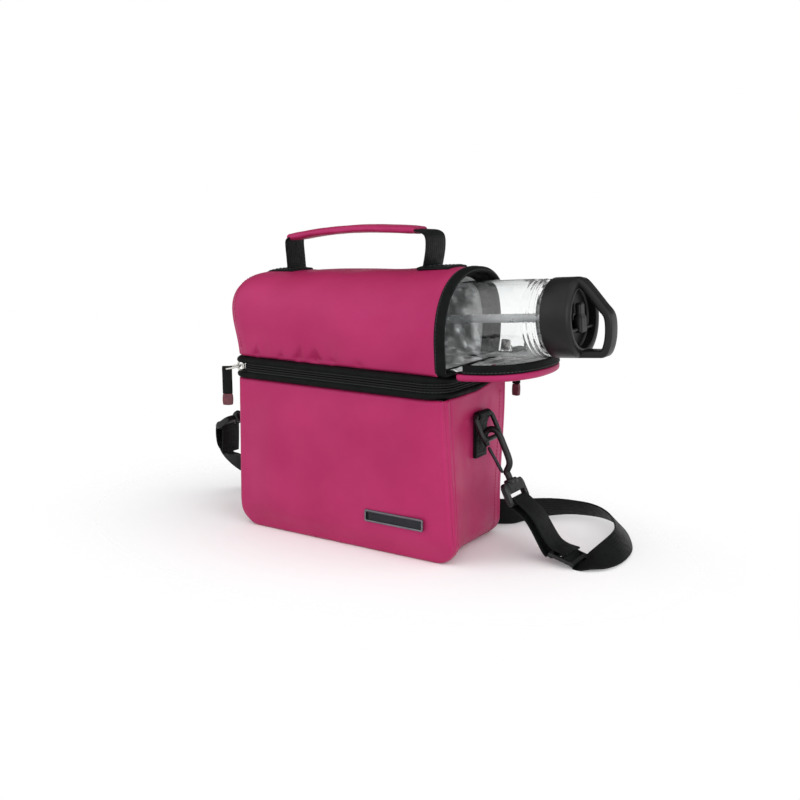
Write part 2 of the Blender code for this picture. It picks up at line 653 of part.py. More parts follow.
def zip_sliders(metal, black, tip):
    corner = Vector((-BAG_LENGTH / 2 + ZIP_CORNER, -BAG_DEPTH / 2 + ZIP_CORNER, ZIP_MID))
    turn = Matrix.Rotation(math.radians(SLIDER_TURN), 4, "Z")
    frame = pivot("main_slider_turn", Matrix.Translation(corner) @ turn)
    zip_slider("main", frame, ZIP_CORNER + TAPE_PROUD, LINK_STANDS, metal, black, tip)
    half_foot = BAG_DEPTH / 2 - FOOT_TUCK + BINDING_PROUD
    reach = half_foot + FOOT_TUCK * (FLAP_SLIDER_UP + SLIDER_SIZE[2] / 2) / SPRING
    side = BAG_LENGTH / 2 + TAPE_PROUD + PULLER_GAP + 0.55 * TAB_SIZE[1]
    outwards = Matrix.Rotation(math.radians(90), 4, "Z")
    rest = Matrix.Translation((side, reach, ZIP_TOP + FLAP_SLIDER_UP))
    frame = pivot("flap_slider_slide", rest @ outwards)
    zip_slider("flap", frame, 0.0, 0, metal, black, tip)


# Rings, hooks and strap, drawn in a frame that hangs down -Z from the ring's pivot

def ring_centre(side):
    return Vector((side * (BAG_LENGTH / 2 + CLEAR + EYE_RADIUS), TAB_Y, TAB_TOP))


def side_tab(name, side, material):
    """Folded webbing tab with an eye for the ring."""
    face = BAG_LENGTH / 2 + CLEAR
    centre = (face + EYE_RADIUS, TAB_TOP)
    web = 2 * TAB_WEB
    join = math.degrees(math.asin((EYE_RADIUS - web) / EYE_RADIUS)) - 90
    outline = [(face, TAB_TOP - TAB_LENGTH), *arc(centre, EYE_RADIUS, 180, join, 14),
               (face + web, TAB_TOP - TAB_LENGTH)]
    half = TAB_WIDTH / 2
    rings = [[(side * x, TAB_Y + y, z) for x, z in outline] for y in (-half, half)]
    tab = loft(name, rings, material)
    past = half + CLEAR
    middle = ring_centre(side)
    bore = drum(name + "_bore", middle - Vector((0, past, 0)), middle + Vector((0, past, 0)),
                RING_WIRE + CLEAR, material)
    combine(tab, bore, "DIFFERENCE")


def hook_and_eye(side_name, frame, moulded, metal):
    """Ring, snap hook with its gate, and the swivel eye that the strap is sewn to."""
    wire_loop("ring_" + side_name, RING_SIZE[0] / 2, RING_SIZE[1] / 2, RING_CORNER, RING_WIRE,
              RING_SIZE[1] / 2, moulded, frame)
    bend = -RING_SIZE[1]
    nose = bend - 2.2 * HOOK_WIRE
    over = arc((0, bend), HOOK_BEND, 180, 0, 9)
    stem = bend - HOOK_LENGTH
    neck = stem + COLLAR_LENGTH + 4 * HOOK_WIRE
    shank = smooth_route([over.pop(), (HOOK_BEND, neck + 0.5 * HOOK_LENGTH),
                          (0.85 * HOOK_BEND, neck + 7 * MM), (0, neck), (0, neck - 2 * MM)], 3)
    path = [(-HOOK_BEND, nose), *over, *shank, (0, stem)]
    radii = [0.8 * HOOK_WIRE] + [HOOK_WIRE] * (len(path) - 1) + [1.6 * HOOK_WIRE] * 2
    path += [(0, stem - RIVET_STEP), (0, stem - RIVET_HEAD)]
    points = [Vector((x, 0, z)) for x, z in path]
    tube("hook_" + side_name, points, radii, (0, 1, 0), moulded, frame)
    foot = Vector((-HOOK_WIRE - CLEAR - GATE_WIRE, 0, neck))
    tip = Vector((-HOOK_BEND, 0, nose - CLEAR - GATE_WIRE / 2))
    hinge = pivot("gate_hinge_" + side_name, Matrix.Translation(foot), frame)
    lever = [Vector((0, 0, 0)), (tip - foot) * 0.5, tip - foot]
    tube("gate_" + side_name, lever, [GATE_WIRE] * 3, (0, 1, 0), metal, hinge)
    top = -EYE_DROP
    half = EYE_SIZE[0] / 2
    eye = block("strap_eye_" + side_name, (-EYE_BAR / 2, -half, top - EYE_SIZE[1]),
                (EYE_BAR / 2, half, top - 1.5 * MM), moulded, frame, rounding=0.2 * EYE_BAR)
    collar = drum("collar_" + side_name, (0, 0, top), (0, 0, top - COLLAR_LENGTH), COLLAR_RADIUS,
                  moulded, frame)
    combine(eye, collar, "UNION")
    window = block("eye_window_" + side_name, (-EYE_BAR, -half + EYE_BAR, top - EYE_SIZE[1] + EYE_BAR),
                   (EYE_BAR, half - EYE_BAR, top - COLLAR_LENGTH), moulded, frame)
    combine(eye, window, "DIFFERENCE")
    hole = drum("eye_hole_" + side_name, (0, 0, top + MM), (0, 0, top - COLLAR_LENGTH - MM),
                HOOK_WIRE + CLEAR, moulded, frame)
    combine(eye, hole, "DIFFERENCE")


def hang(side, degrees):
    """Frame of a ring and hook that lean out from one side."""
    return Matrix.Translation(ring_centre(side)) @ Matrix.Rotation(math.radians(degrees), 4, "Y")


def laid_strap(points):
    """Loose strap from (x, y, lean, lift): lean 0 lies flat, 90 stands on its edge; lift raises it."""
    rows = []
    for before, (x, y, lean, lift), after in zip(points[:1] + points, points, points[1:] + points[-1:]):
        ahead = Vector((after[0] - before[0], after[1] - before[1], 0)).normalized()
        a = math.radians(lean)
        width = Vector((-ahead.y * math.cos(a), ahead.x * math.cos(a), math.sin(a)))
        z = CLEAR + (STRAP_WIDTH * math.sin(a) + STRAP_THICK * math.cos(a)) / 2 + lift * MM
        rows.append([x * MM, y * MM, z, *width])
    return rows


def strap_route():
    """The strap's middle line and the direction of its width, from the right eye to the left eye."""
    right = hang(1, RIGHT_HANG) @ Vector((0, 0, -BAR_DROP))
    left = hang(-1, LEFT_HANG) @ Vector((0, 0, -BAR_DROP))
    run = Vector((math.cos(math.radians(GLIDE_SLOPE)), 0, -math.sin(math.radians(GLIDE_SLOPE))))
    lift = Vector((-run.z, 0, run.x))
    away = (GLIDE - right).normalized()
    out = Vector((-away.z, 0, away.x))

    def by_glide(along, up):
        return [*(GLIDE + run * (along * MM) + lift * (up * MM)), 0, 1, 0]

    def by_bar(along, up):
        return [*(right + away * (along * FOLD) + out * (up * FOLD)), 0, 1, 0]

    def by_left_bar(turn, drop=0):
        a = math.radians(turn)
        return [left.x + FOLD * math.cos(a), left.y, left.z + FOLD * math.sin(a) - drop * MM, 0, -1, 0]

    doubled = [by_glide(4, 5.3), by_glide(-14, 5.5), by_bar(5, 1.3), by_bar(0, 1), by_bar(-0.71, 0.71),
               by_bar(-1, 0), by_bar(-0.71, -0.71), by_bar(0, -1), by_bar(5, -0.5), by_glide(-18, -2.6),
               by_glide(-13, -3.1), by_glide(-9.2, -3.2), by_glide(-5, 0), by_glide(-1.8, 2.9),
               by_glide(1.8, 2.9), by_glide(5, 0), by_glide(9.2, -3), by_glide(13, -1.9)]
    loop = [(215, 9, 4, 1.8), (223, 18, 16, 1.2), (228, 40, 38, 1.2), (224, 68, 44, 0.8), (207, 102, 34, 0.5),
            (190, 124, 22, 0.3), (170, 137, 16, 0), (148, 134, 18, 0), (130, 119, 34, 0), (117, 98, 62, 0),
            (104, 80, 86, 0), (76, 69, 90, 0)]
    folded = [(20, 68, 90, 0), (-36, 68.5, 90, 0), (-48, 76, 90, 0), (-36, 83.5, 90, 0), (10, 84, 90, 0),
              (48, 84.5, 90, 0), (60, 92, 90, 0), (48, 99.5, 90, 0), (0, 100.5, 90, 0), (-60, 101, 90, 0),
              (-112, 98, 90, 0)]
    rising = [(-146, 86, 90, 1), (-171, 65, 62, 5), (-187, 39, 25, 20), (-193, 19, 8, 42)]
    hung = [by_left_bar(185, 13), by_left_bar(180), by_left_bar(135), by_left_bar(90), by_left_bar(45),
            by_left_bar(0), by_left_bar(-20, 12), by_left_bar(-45, 26)]
    return doubled + laid_strap(loop + folded + rising) + hung


def shoulder_strap(webbing, moulded):
    route = smooth_route(strap_route(), 2)
    points = [Vector(step[:3]) for step in route]
    across = [Vector(step[3:]) for step in route]
    ribbon("shoulder_strap", points, across, [STRAP_WIDTH] * len(points), STRAP_THICK, webbing)
    frame = pivot("strap_slider_place", Matrix.Translation(GLIDE)
                  @ Matrix.Rotation(math.radians(GLIDE_SLOPE), 4, "Y"))
    half_x = 1.5 * GLIDE_BAR / 2 + GLIDE_WINDOW + GLIDE_BAR
    half_y = STRAP_WIDTH / 2 + GLIDE_BAR + CLEAR
    glide = block("strap_slider", (-half_x, -half_y, -GLIDE_BAR / 2), (half_x, half_y, GLIDE_BAR / 2),
                  moulded, frame, rounding=0.25 * GLIDE_BAR)
    for side in (-1, 1):
        near = side * GLIDE_BAR / 2
        far = side * (GLIDE_BAR / 2 + GLIDE_WINDOW)
        half_slot = STRAP_WIDTH / 2 + 2 * CLEAR
        slot = block(f"glide_slot_{side}", (min(near, far), -half_slot, -GLIDE_BAR),
                     (max(near, far), half_slot, GLIDE_BAR), moulded, frame)
        combine(glide, slot, "DIFFERENCE")


def strap_hardware(webbing, moulded, metal):
    for name, side, degrees in (("right", 1, RIGHT_HANG), ("left", -1, LEFT_HANG)):
        side_tab("ring_tab_" + name, side, webbing)
        hook_and_eye(name, pivot("hang_" + name, hang(side, degrees)), moulded, metal)
    shoulder_strap(webbing, moulded)


# Bottle, drawn standing on its heel in the frame of its slide

def bottle(clear_plastic, black, rubber, straw_plastic):
    tilt = math.radians(BOTTLE_TILT)
    heel = Vector((HEEL_X, 0, LINING_FLOOR + CLEAR + BOTTLE_RADIUS / math.cos(tilt)))
    frame = pivot("bottle_slide", Matrix.Translation(heel) @ Matrix.Rotation(math.pi / 2 - tilt, 4, "Y"))
    bottle_body(frame, clear_plastic)
    bottle_lid(frame, black)
    ceiling = LID_BASE + NECK_LENGTH
    under = ceiling - 2 * CLEAR - FOIL
    above = ceiling - CLEAR
    throat = NECK_RADIUS - SEAL_WIDTH
    seal = [(throat, under), (NECK_RADIUS, under), (NECK_RADIUS, above), (throat, above)]
    turned("lid_seal", seal, rubber, frame, looped=True)
    bore = STRAW_RADIUS - STRAW_WALL
    foot = 4 * BOTTLE_WALL
    head = RECESS_FLOOR - CLEAR
    straw = [(bore, foot), (STRAW_RADIUS, foot), (STRAW_RADIUS, head), (bore, head)]
    turned("straw", straw, straw_plastic, frame, looped=True)
    spout(frame, black)


def bottle_body(frame, material):
    """Clear body with a ringed shoulder and a neck for the lid."""
    r = BOTTLE_RADIUS
    groove = r - GROOVE
    ring = COLLAR_BAND / 6
    rim = LID_BASE + NECK_LENGTH - 3 * CLEAR - FOIL
    inside = r - BOTTLE_WALL
    throat = NECK_RADIUS - BOTTLE_WALL
    profile = [(r - 6 * MM, 0), (r - 2.4 * MM, 0.8 * MM), (r - 0.6 * MM, 2.8 * MM), (r, 6 * MM)]
    for k in range(3):
        low = BODY_LENGTH + 2 * k * ring
        profile += [(groove, low - 0.3 * ring), (groove, low + 0.3 * ring), (r, low + 0.7 * ring),
                    (r, low + 1.3 * ring)]
    shoulder = BODY_LENGTH + COLLAR_BAND
    profile += [(NECK_RADIUS, shoulder), (NECK_RADIUS, rim), (throat, rim), (throat, shoulder - 2 * ring),
                (inside - GROOVE, BODY_LENGTH - ring), (inside, BODY_LENGTH - 3 * ring), (inside, 6 * MM),
                (inside - 3 * MM, BOTTLE_WALL + MM), (inside - 8 * MM, BOTTLE_WALL)]
    turned("bottle_body", profile, material, frame)


def bottle_lid(frame, material):
    """Screw lid: open skirt below, a recess for the spout above, and a carry loop."""
    skirt = NECK_RADIUS + CLEAR
    ceiling = LID_BASE + NECK_LENGTH
    hole = STRAW_RADIUS + CLEAR
    profile = [(skirt, LID_BASE), (LID_RADIUS - LID_EDGE, LID_BASE), (LID_RADIUS, LID_BASE + LID_EDGE),
               (LID_RADIUS, LID_TOP - LID_CHAMFER), (LID_RADIUS - LID_CHAMFER, LID_TOP),
               (RECESS_RADIUS, LID_TOP), (RECESS_RADIUS, RECESS_FLOOR), (hole, RECESS_FLOOR),
               (hole, ceiling), (skirt, ceiling)]
    lid = turned("bottle_lid", profile, material, frame, looped=True)
    side = LID_RADIUS - LOOP_THICK / 2 - 0.5 * MM
    sunk = LID_TOP - LID_CHAMFER - 2 * MM
    far = LID_TOP + LOOP_REACH - LOOP_THICK / 2
    short = LOOP_OFFSET - side
    corners = [(short, sunk), (short, LID_TOP), (-0.3 * side, far - 6 * MM), (0, far), (0.55 * side, far),
               (side - MM, far - 4 * MM), (side, far - 9 * MM), (side, LID_TOP), (side, sunk)]
    route = [Vector((x, 0, z)) for x, z in smooth_route(corners, 3)]
    across = [Vector((0, 1, 0))] * len(route)
    loop = ribbon("carry_loop", route, across, [LOOP_WIDTH] * len(route), LOOP_THICK, material, frame)
    combine(lid, loop, "UNION")
    depth = pin_reach() + CLEAR
    x, z = spout_axis()
    bore = drum("lid_pin_bore", (x, -depth, z), (x, depth, z), PIN_RADIUS + CLEAR, material, frame)
    combine(lid, bore, "DIFFERENCE")


def spout_axis():
    """Place of the spout's pin in the recess, as (x, z) of the bottle's frame."""
    return (SPOUT_SIZE[0] / 2 - 2 * PIN_RADIUS, RECESS_FLOOR + MM + SPOUT_SIZE[2] / 2)


def pin_reach():
    """Half length of the pin, which enters the wall of the recess on both sides."""
    return math.sqrt(RECESS_RADIUS ** 2 - spout_axis()[0] ** 2) + 2 * PIN_RADIUS


def spout(frame, material):
    """Folding mouthpiece with a drinking bore, on its cross pin."""
    x, z = spout_axis()
    hinge = pivot("spout_hinge", Matrix.Translation((x, 0, z)), frame)
    length, width, thick = SPOUT_SIZE
    back = 2 * PIN_RADIUS
    rings = []
    for along, share in ((back, 0.8), (back - MM, 1.0), (-0.35 * length, 1.0), (-0.5 * length, 0.72),
                         (back - length + 1.5 * MM, 0.72), (back - length, 0.55)):
        outline = rounded_rectangle(share * width / 2, share * thick / 2, 0.4 * share * thick, 4)
        rings.append([(along, y, up) for y, up in outline])
    mouth = loft("spout", rings, material, hinge)
    bore = drum("spout_bore", (back - length - MM, 0, 0), (-2.5 * PIN_RADIUS, 0, 0), SPOUT_BORE / 2,
                material, hinge)
    combine(mouth, bore, "DIFFERENCE")
    axle = drum("spout_pin_bore", (0, -width, 0), (0, width, 0), PIN_RADIUS + CLEAR, material, hinge)
    combine(mouth, axle, "DIFFERENCE")
    reach = pin_reach()
    drum("spout_pin", (0, -reach, 0), (0, reach, 0), PIN_RADIUS, material, hinge)


def main():
    for obj in list(bpy.data.objects):
        bpy.data.objects.remove(obj)
    fabric = finish("magenta coated polyester", (0.479, 0.056, 0.159), 0.42)
    black = finish("black zip tape", (0.012, 0.012, 0.013), 0.7)
    webbing = finish("black nylon webbing", (0.013, 0.013, 0.014), 0.65)
    foil = finish("silver foil lining", (0.78, 0.79, 0.8), 0.25, metallic=0.9)
    board = finish("grey foam board", (0.35, 0.35, 0.36), 0.8)
    moulded = finish("black acetal", (0.015, 0.015, 0.016), 0.35)
    metal = finish("nickel plated zinc", (0.7, 0.7, 0.71), 0.3, metallic=1.0)
    gunmetal = finish("gunmetal plate", (0.12, 0.12, 0.13), 0.35, metallic=1.0)
    tip = finish("plum moulded tip", (0.1, 0.03, 0.04), 0.5)
    clear_plastic = finish("clear copolyester", (0.9, 0.92, 0.93), 0.05, alpha=0.3)
    lid_plastic = finish("black polypropylene", (0.022, 0.022, 0.023), 0.4)
    rubber = finish("grey silicone", (0.3, 0.3, 0.3), 0.6)
    straw_plastic = finish("frosted straw", (0.85, 0.86, 0.87), 0.3, alpha=0.6)

    lower_panel("lower_front_panel", -1, fabric)
    lower_panel("lower_back_panel", 1, fabric)
    lower_gusset(fabric)
    lower_lining(foil)
    half_x = BAG_LENGTH / 2 - BASE_CORNER
    half_y = BAG_DEPTH / 2 - WALL - 2 * CLEAR
    block("base_board", (-half_x, -half_y, WALL + CLEAR), (half_x, half_y, WALL + CLEAR + BOARD), board)
    zip_tape("lower_zip_tape", LOWER_HEIGHT + CLEAR, ZIP_MID - CLEAR / 2, black)
    hinge_strip("back_hinge_lower", LOWER_HEIGHT + CLEAR, ZIP_MID - CLEAR / 2, fabric)
    name_plate(gunmetal)

    zip_tape("upper_zip_tape", ZIP_MID + CLEAR / 2, ZIP_TOP, black)
    hinge_strip("back_hinge_upper", ZIP_MID + CLEAR / 2, ZIP_TOP, fabric)
    divider_panel(board)
    lid_lining(foil)
    dome_panel(fabric)
    dome_left_end(fabric)
    upper_lining(foil)
    opening_tape(black)
    end_flap(fabric, foil, black)
    handle_feet(webbing)
    handle(webbing, fabric)
    zip_sliders(metal, black, tip)
    strap_hardware(webbing, moulded, metal)
    bottle(clear_plastic, lid_plastic, rubber, straw_plastic)
    upper_hinge = pivot("upper_hinge", Matrix.Translation((0, BACK_HINGE_Y, ZIP_MID)))
    carry(upper_hinge, ("upper_zip_tape", "back_hinge_upper", "divider_panel", "lid_lining", "dome_panel",
                        "dome_left_end", "upper_lining", "opening_zip_tape", "handle_foot_left",
                        "handle_foot_right", "handle_hinge", "end_flap_hinge", "flap_slider_slide",
                        "bottle_slide"))


main()
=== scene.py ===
import bmesh
import bpy
import numpy as np
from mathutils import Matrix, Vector


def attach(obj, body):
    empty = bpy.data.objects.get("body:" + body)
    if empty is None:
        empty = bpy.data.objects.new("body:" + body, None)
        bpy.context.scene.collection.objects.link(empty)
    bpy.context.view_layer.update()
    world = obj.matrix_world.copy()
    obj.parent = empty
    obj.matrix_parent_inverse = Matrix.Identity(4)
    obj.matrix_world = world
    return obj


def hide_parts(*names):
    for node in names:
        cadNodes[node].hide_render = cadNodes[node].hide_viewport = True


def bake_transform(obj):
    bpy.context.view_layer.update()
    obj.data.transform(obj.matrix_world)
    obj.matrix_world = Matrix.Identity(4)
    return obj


# Insulated lunch bag with a bottle lying in its domed top. Shapes are worked out in millimetres,
# X along the bag to the open end, -Y the front, Z up from the floor, and go into meshes in metres.
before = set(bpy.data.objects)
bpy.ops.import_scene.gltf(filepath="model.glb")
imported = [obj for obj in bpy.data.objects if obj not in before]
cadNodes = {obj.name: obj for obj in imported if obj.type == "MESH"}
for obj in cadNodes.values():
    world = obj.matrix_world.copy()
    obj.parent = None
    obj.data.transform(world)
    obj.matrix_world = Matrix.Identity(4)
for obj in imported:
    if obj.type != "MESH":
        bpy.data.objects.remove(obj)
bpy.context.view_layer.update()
mm = 0.001
toRight, toBack, toTop = np.eye(3)
print("frame:", len(cadNodes), "nodes")


def unit(v):
    # each vector over its own length
    return v / np.maximum(np.linalg.norm(v, axis=-1, keepdims=True), 1e-9)


def ramp(x, start, end):
    # 0 before start, 1 after end, and 3t^2 - 2t^3 between
    t = np.clip((x - start) / (end - start), 0, 1)
    return t * t * (3 - 2 * t)


def dent(x, width):
    # bell curve e^-(x / width)^2
    return np.exp(-(x / width) ** 2)


def planeWaves(points, wave, seed, count, lengths):
    # phases of plane waves in seeded directions, their lengths spread about the given one
    rng = np.random.default_rng(seed)
    way = unit(rng.normal(size=(count, points.shape[-1])))
    way = way * 2 * np.pi / (wave * rng.uniform(*lengths, (count, 1)))
    return points @ way.T + rng.uniform(0, 6.28, count)


def softNoise(points, wave, seed):
    # sum of nine sine waves, about unit height
    return np.sin(planeWaves(points, wave, seed, 9, (0.6, 1.6))).sum(-1) / 3


def crumple(points, wave, seed):
    # sum of seven triangle waves: flat facets between sharp creases, about unit height
    phase = planeWaves(points, wave, seed, 7, (0.5, 1.8))
    return (np.arcsin(np.sin(phase)) * 0.64).sum(-1) / np.sqrt(7)


def creases(points, base, low, high, folds):
    # base + height * crumple for each fold (height, wave, seed), kept between low and high
    return np.clip(base + sum(height * crumple(points, *fold) for height, *fold in folds), low, high)


def curve(points, steps):
    # Catmull-Rom curve through the points, with the given steps between them
    p = np.asarray(points, float)
    q = np.concatenate([p[:1], p, p[-1:]])
    a, b, c, d = (q[k:len(q) - 3 + k, None] for k in range(4))
    t = (np.arange(steps) / steps)[None, :, None]
    run = 2 * b + (c - a) * t + (2 * a - 5 * b + 4 * c - d) * t ** 2 + (3 * b - a - 3 * c + d) * t ** 3
    return np.concatenate([run.reshape(-1, p.shape[1]) / 2, p[-1:]])


def runOf(line):
    # running length at each point of a line
    return np.concatenate([[0], np.cumsum(np.linalg.norm(np.diff(line, axis=0), axis=1))])


def pick(line, run, at):
    # points of a line at the given running lengths
    return np.stack([np.interp(at, run, column) for column in line.T], -1)


def evenly(path, count, closed=False):
    # the same line cut into equal steps of its running length
    line = np.concatenate([path, path[:1]]) if closed else path
    run = runOf(line)
    return pick(line, run, np.linspace(0, run[-1], count + closed)[:count])


def shut(line, across, count):
    # an open line closed by a straight run from its end to its start, in equal steps
    return evenly(np.concatenate([line, evenly(line[[-1, 0]], across)[1:-1]]), count, closed=True)


def eased(count):
    # 0 to 1 in steps that are finer at both ends
    return (1 - np.cos(np.linspace(0, 1, count) * np.pi)) / 2


def relax(path, times, closed=True):
    # corners rounded by averaging each point with its neighbours
    for _ in range(times):
        mean = (np.roll(path, 1, 0) + np.roll(path, -1, 0)) / 4 + path / 2
        path = mean if closed else np.concatenate([path[:1], mean[1:-1], path[-1:]])
    return path


def roundBox(halfP, halfQ, corner, steps):
    # rectangle with quarter-circle corners, as (p, q) points in one turn
    turn = np.linspace(0, np.pi / 2, steps)[None] + np.arange(4)[:, None] * np.pi / 2
    signP = np.array([1, -1, -1, 1])[:, None]
    signQ = np.array([1, 1, -1, -1])[:, None]
    p = signP * (halfP - corner) + corner * np.cos(turn)
    q = signQ * (halfQ - corner) + corner * np.sin(turn)
    return np.stack([p.ravel(), q.ravel()], -1)


def circle(radius, sides):
    turn = np.arange(sides) * 2 * np.pi / sides
    return radius * np.stack([np.cos(turn), np.sin(turn)], -1)


def arc(start, end, count):
    # (cos, sin) from one angle to another, in degrees
    turn = np.radians(np.linspace(start, end, count))
    return np.stack([np.cos(turn), np.sin(turn)], -1)


def inSpace(flat, value, axis):
    # planar points with their missing coordinate put in at its axis
    parts = list(np.moveaxis(np.asarray(flat, float), -1, 0))
    parts.insert(axis, np.broadcast_to(value, parts[0].shape))
    return np.stack(parts, -1)


def turned(points, degrees, axis):
    # points turned about an axis through the origin: p cos - q sin, p sin + q cos
    a = np.radians(degrees)
    place = np.array(points, float)
    i, j = (axis + 1) % 3, (axis + 2) % 3
    p, q = place[..., i].copy(), place[..., j].copy()
    place[..., i] = p * np.cos(a) - q * np.sin(a)
    place[..., j] = p * np.sin(a) + q * np.cos(a)
    return place


def sweep(path, across, profile, closed=False):
    # profile (p, q) carried along a path: point + p * width + q * normal, where the width is the
    # wanted direction made square to the path and the normal is path x width
    ahead = np.roll(path, -1, 0) - np.roll(path, 1, 0) if closed else np.gradient(path, axis=0)
    along = unit(ahead)
    across = np.broadcast_to(across, path.shape)
    width = unit(across - (across * along).sum(-1, keepdims=True) * along)
    normal = np.cross(along, width)
    profile = np.broadcast_to(profile, (len(path), *profile.shape[-2:]))
    return path[:, None] + profile[..., :1] * width[:, None] + profile[..., 1:] * normal[:, None]


def lathe(profile, sides):
    # (radius, height) points turned about the Z axis
    r, z = np.asarray(profile, float).T
    return inSpace(r[:, None, None] * circle(1, sides), z[:, None], 2)


def shrunk(ring, middle, scale):
    # copies of a ring drawn in towards its middle, one for each scale
    return middle + (ring - middle)[None] * scale[:, None, None]


def swelled(profile, p, q=1.0):
    # copies of a profile, one for each pair of scales
    return profile[None] * np.stack(np.broadcast_arrays(p, q), -1)[:, None]


def pillow(turns, rings, inset, edge, crown, full):
    # a padded face as (scale, depth) of rings drawn in: a quarter round at its edge, then a low crown
    t = np.linspace(0, np.pi / 2, turns)
    inner = np.linspace(0.9, 0.04, rings)
    scale = np.concatenate([1 - inset * (1 - np.cos(t)), inner])
    return scale, np.concatenate([edge * np.sin(t), edge + crown * (1 - (inner / full) ** 2)])


def relief(grid, height, inside):
    # each point moved along the surface normal that points away from the inside
    normal = unit(np.cross(np.gradient(grid, axis=0), np.gradient(grid, axis=1)))
    normal = normal * np.sign((normal * (grid - inside)).sum())
    return grid + normal * height[..., None]


def runLength(grid, axis, closed):
    # running length along one direction of a grid, averaged over the other
    line = np.concatenate([grid, grid.take([0], axis)], axis) if closed else grid
    step = np.linalg.norm(np.diff(line, axis=axis), axis=-1).mean(1 - axis)
    return np.concatenate([[0], np.cumsum(step)])


def buildMesh(name, points, faceSets, uvSets, material, crease):
    # points in millimetres and rows of corner numbers go into one mesh object
    mesh = bpy.data.meshes.new(name)
    mesh.vertices.add(len(points))
    mesh.vertices.foreach_set("co", (points * mm).astype(np.float32).ravel())
    corners = np.concatenate([f.ravel() for f in faceSets]).astype(np.int32)
    sizes = np.concatenate([np.full(len(f), f.shape[1]) for f in faceSets]).astype(np.int32)
    mesh.loops.add(len(corners))
    mesh.loops.foreach_set("vertex_index", corners)
    mesh.polygons.add(len(sizes))
    mesh.polygons.foreach_set("loop_start", (np.cumsum(sizes) - sizes).astype(np.int32))
    mesh.update(calc_edges=True)
    uv = np.concatenate([u.reshape(-1, 2) for u in uvSets]) * mm
    mesh.uv_layers.new(name="UVMap").uv.foreach_set("vector", uv.astype(np.float32).ravel())
    mesh.validate()
    mesh.shade_smooth()
    mesh.set_sharp_from_angle(angle=np.radians(crease))
    mesh.materials.append(material)
    piece = bpy.data.objects.new(name, mesh)
    bpy.context.scene.collection.objects.link(piece)
    return piece


def surface(name, grid, material, closedU=False, closedV=False, capStart=False, capEnd=False,
            inside=None, crease=50):
    # quads between neighbours of grid[u, v]; a closed direction joins its last row to its first, a
    # cap fans to the middle of its ring, and the UVs are running lengths
    rows, cols = grid.shape[:2]
    i, j = np.meshgrid(np.arange(rows + closedU), np.arange(cols + closedV), indexing="ij")
    number = (i % rows) * cols + j % cols
    lengths = (runLength(grid, 0, closedU), runLength(grid, 1, closedV))
    uv = np.stack(np.meshgrid(*lengths, indexing="ij"), -1)
    quads, quadUv = (np.stack([v[:-1, :-1], v[1:, :-1], v[1:, 1:], v[:-1, 1:]], 2) for v in (number, uv))
    quads = quads.reshape(-1, 4)
    points = grid.reshape(-1, 3)
    faceSets, uvSets = [quads], [quadUv.reshape(-1, 4, 2)]
    for wanted, row, order in ((capStart, 0, (0, 1, 2)), (capEnd, -1, (0, 2, 1))):
        if wanted:
            ring, ringUv = number[row], uv[row]
            hub = np.full(len(ring) - 1, len(points))
            points = np.concatenate([points, grid[row].mean(0)[None]])
            hubUv = np.repeat(ringUv.mean(0)[None], len(hub), 0)
            faceSets.append(np.stack([hub, ring[:-1], ring[1:]], -1)[:, order])
            uvSets.append(np.stack([hubUv, ringUv[:-1], ringUv[1:]], 1)[:, order])
    middle = points.mean(0) if inside is None else np.asarray(inside, float)
    a, b, c, d = (points[quads[:, k]] for k in range(4))
    if (np.cross(c - a, d - b) * ((a + c) / 2 - middle)).sum() < 0:
        faceSets = [f[:, ::-1] for f in faceSets]
        uvSets = [u[:, ::-1] for u in uvSets]
    return buildMesh(name, points, faceSets, uvSets, material, crease)


def solid(name, grid, material, crease=50):
    # a row of closed rings, shut at both ends
    return surface(name, grid, material, closedV=True, capStart=True, capEnd=True, crease=crease)


def tube(name, path, radius, material, across=toBack, closed=False, sides=16):
    # round bar along a path, its radius one number or one for each point
    grid = sweep(path, across, shrunk(circle(1, sides), 0, np.broadcast_to(radius, len(path))), closed)
    return surface(name, grid, material, closedU=closed, closedV=True, capStart=not closed, capEnd=not closed)


def stitches(name, path, out, material, radius=0.36):
    # one small five-sided bead for each stitch, laid along the path and half sunk in the cloth
    pitch, length, ends = 3.4, 2.5, [(-0.5, 0.35), (-0.34, 1), (0.34, 1), (0.5, 0.35)]
    run = runOf(path)
    count = max(int(run[-1] / pitch), 1)
    at = (np.arange(count) + 0.5) * run[-1] / count
    along = unit(pick(path, run, at + 0.3) - pick(path, run, at - 0.3))
    up = pick(np.broadcast_to(out, path.shape), run, at)
    up = unit(up - (up * along).sum(-1, keepdims=True) * along)
    axes = np.stack([along, np.cross(along, up), up], 1)
    bead = np.stack([inSpace(girth * circle(radius, 5), share * length, 0) for share, girth in ends])
    points = pick(path, run, at)[:, None, None] + np.einsum("rsk,nkd->nrsd", bead, axes)
    k, s = np.meshgrid(np.arange(3), np.arange(5), indexing="ij")
    n = (s + 1) % 5
    sides = np.stack([k * 5 + s, k * 5 + n, k * 5 + 5 + n, k * 5 + 5 + s], -1).reshape(-1, 4)
    caps = np.array([[4, 3, 2, 1, 0], [15, 16, 17, 18, 19]])
    step = (np.arange(count) * 20)[:, None, None]
    faceSets = [(sides + step).reshape(-1, 4), (caps + step).reshape(-1, 5)]
    uvSets = [np.zeros((*f.shape, 2)) for f in faceSets]
    return buildMesh(name, points.reshape(-1, 3), faceSets, uvSets, material, 60)


def coilRow(name, path, across, sign=1, radius=0.7, pitch=1.8):
    # a bead of nylon for each turn of the coil: a small round bar whose radius swells once a pitch
    length = runOf(path)[-1]
    path = evenly(path, int(length / pitch * 4))
    run = np.linspace(0, length, len(path))
    swell = 0.74 + 0.26 * np.cos(2 * np.pi * run / pitch + sign * np.pi / 2)
    return tube(name, path, radius * swell, coil, across, sides=8)


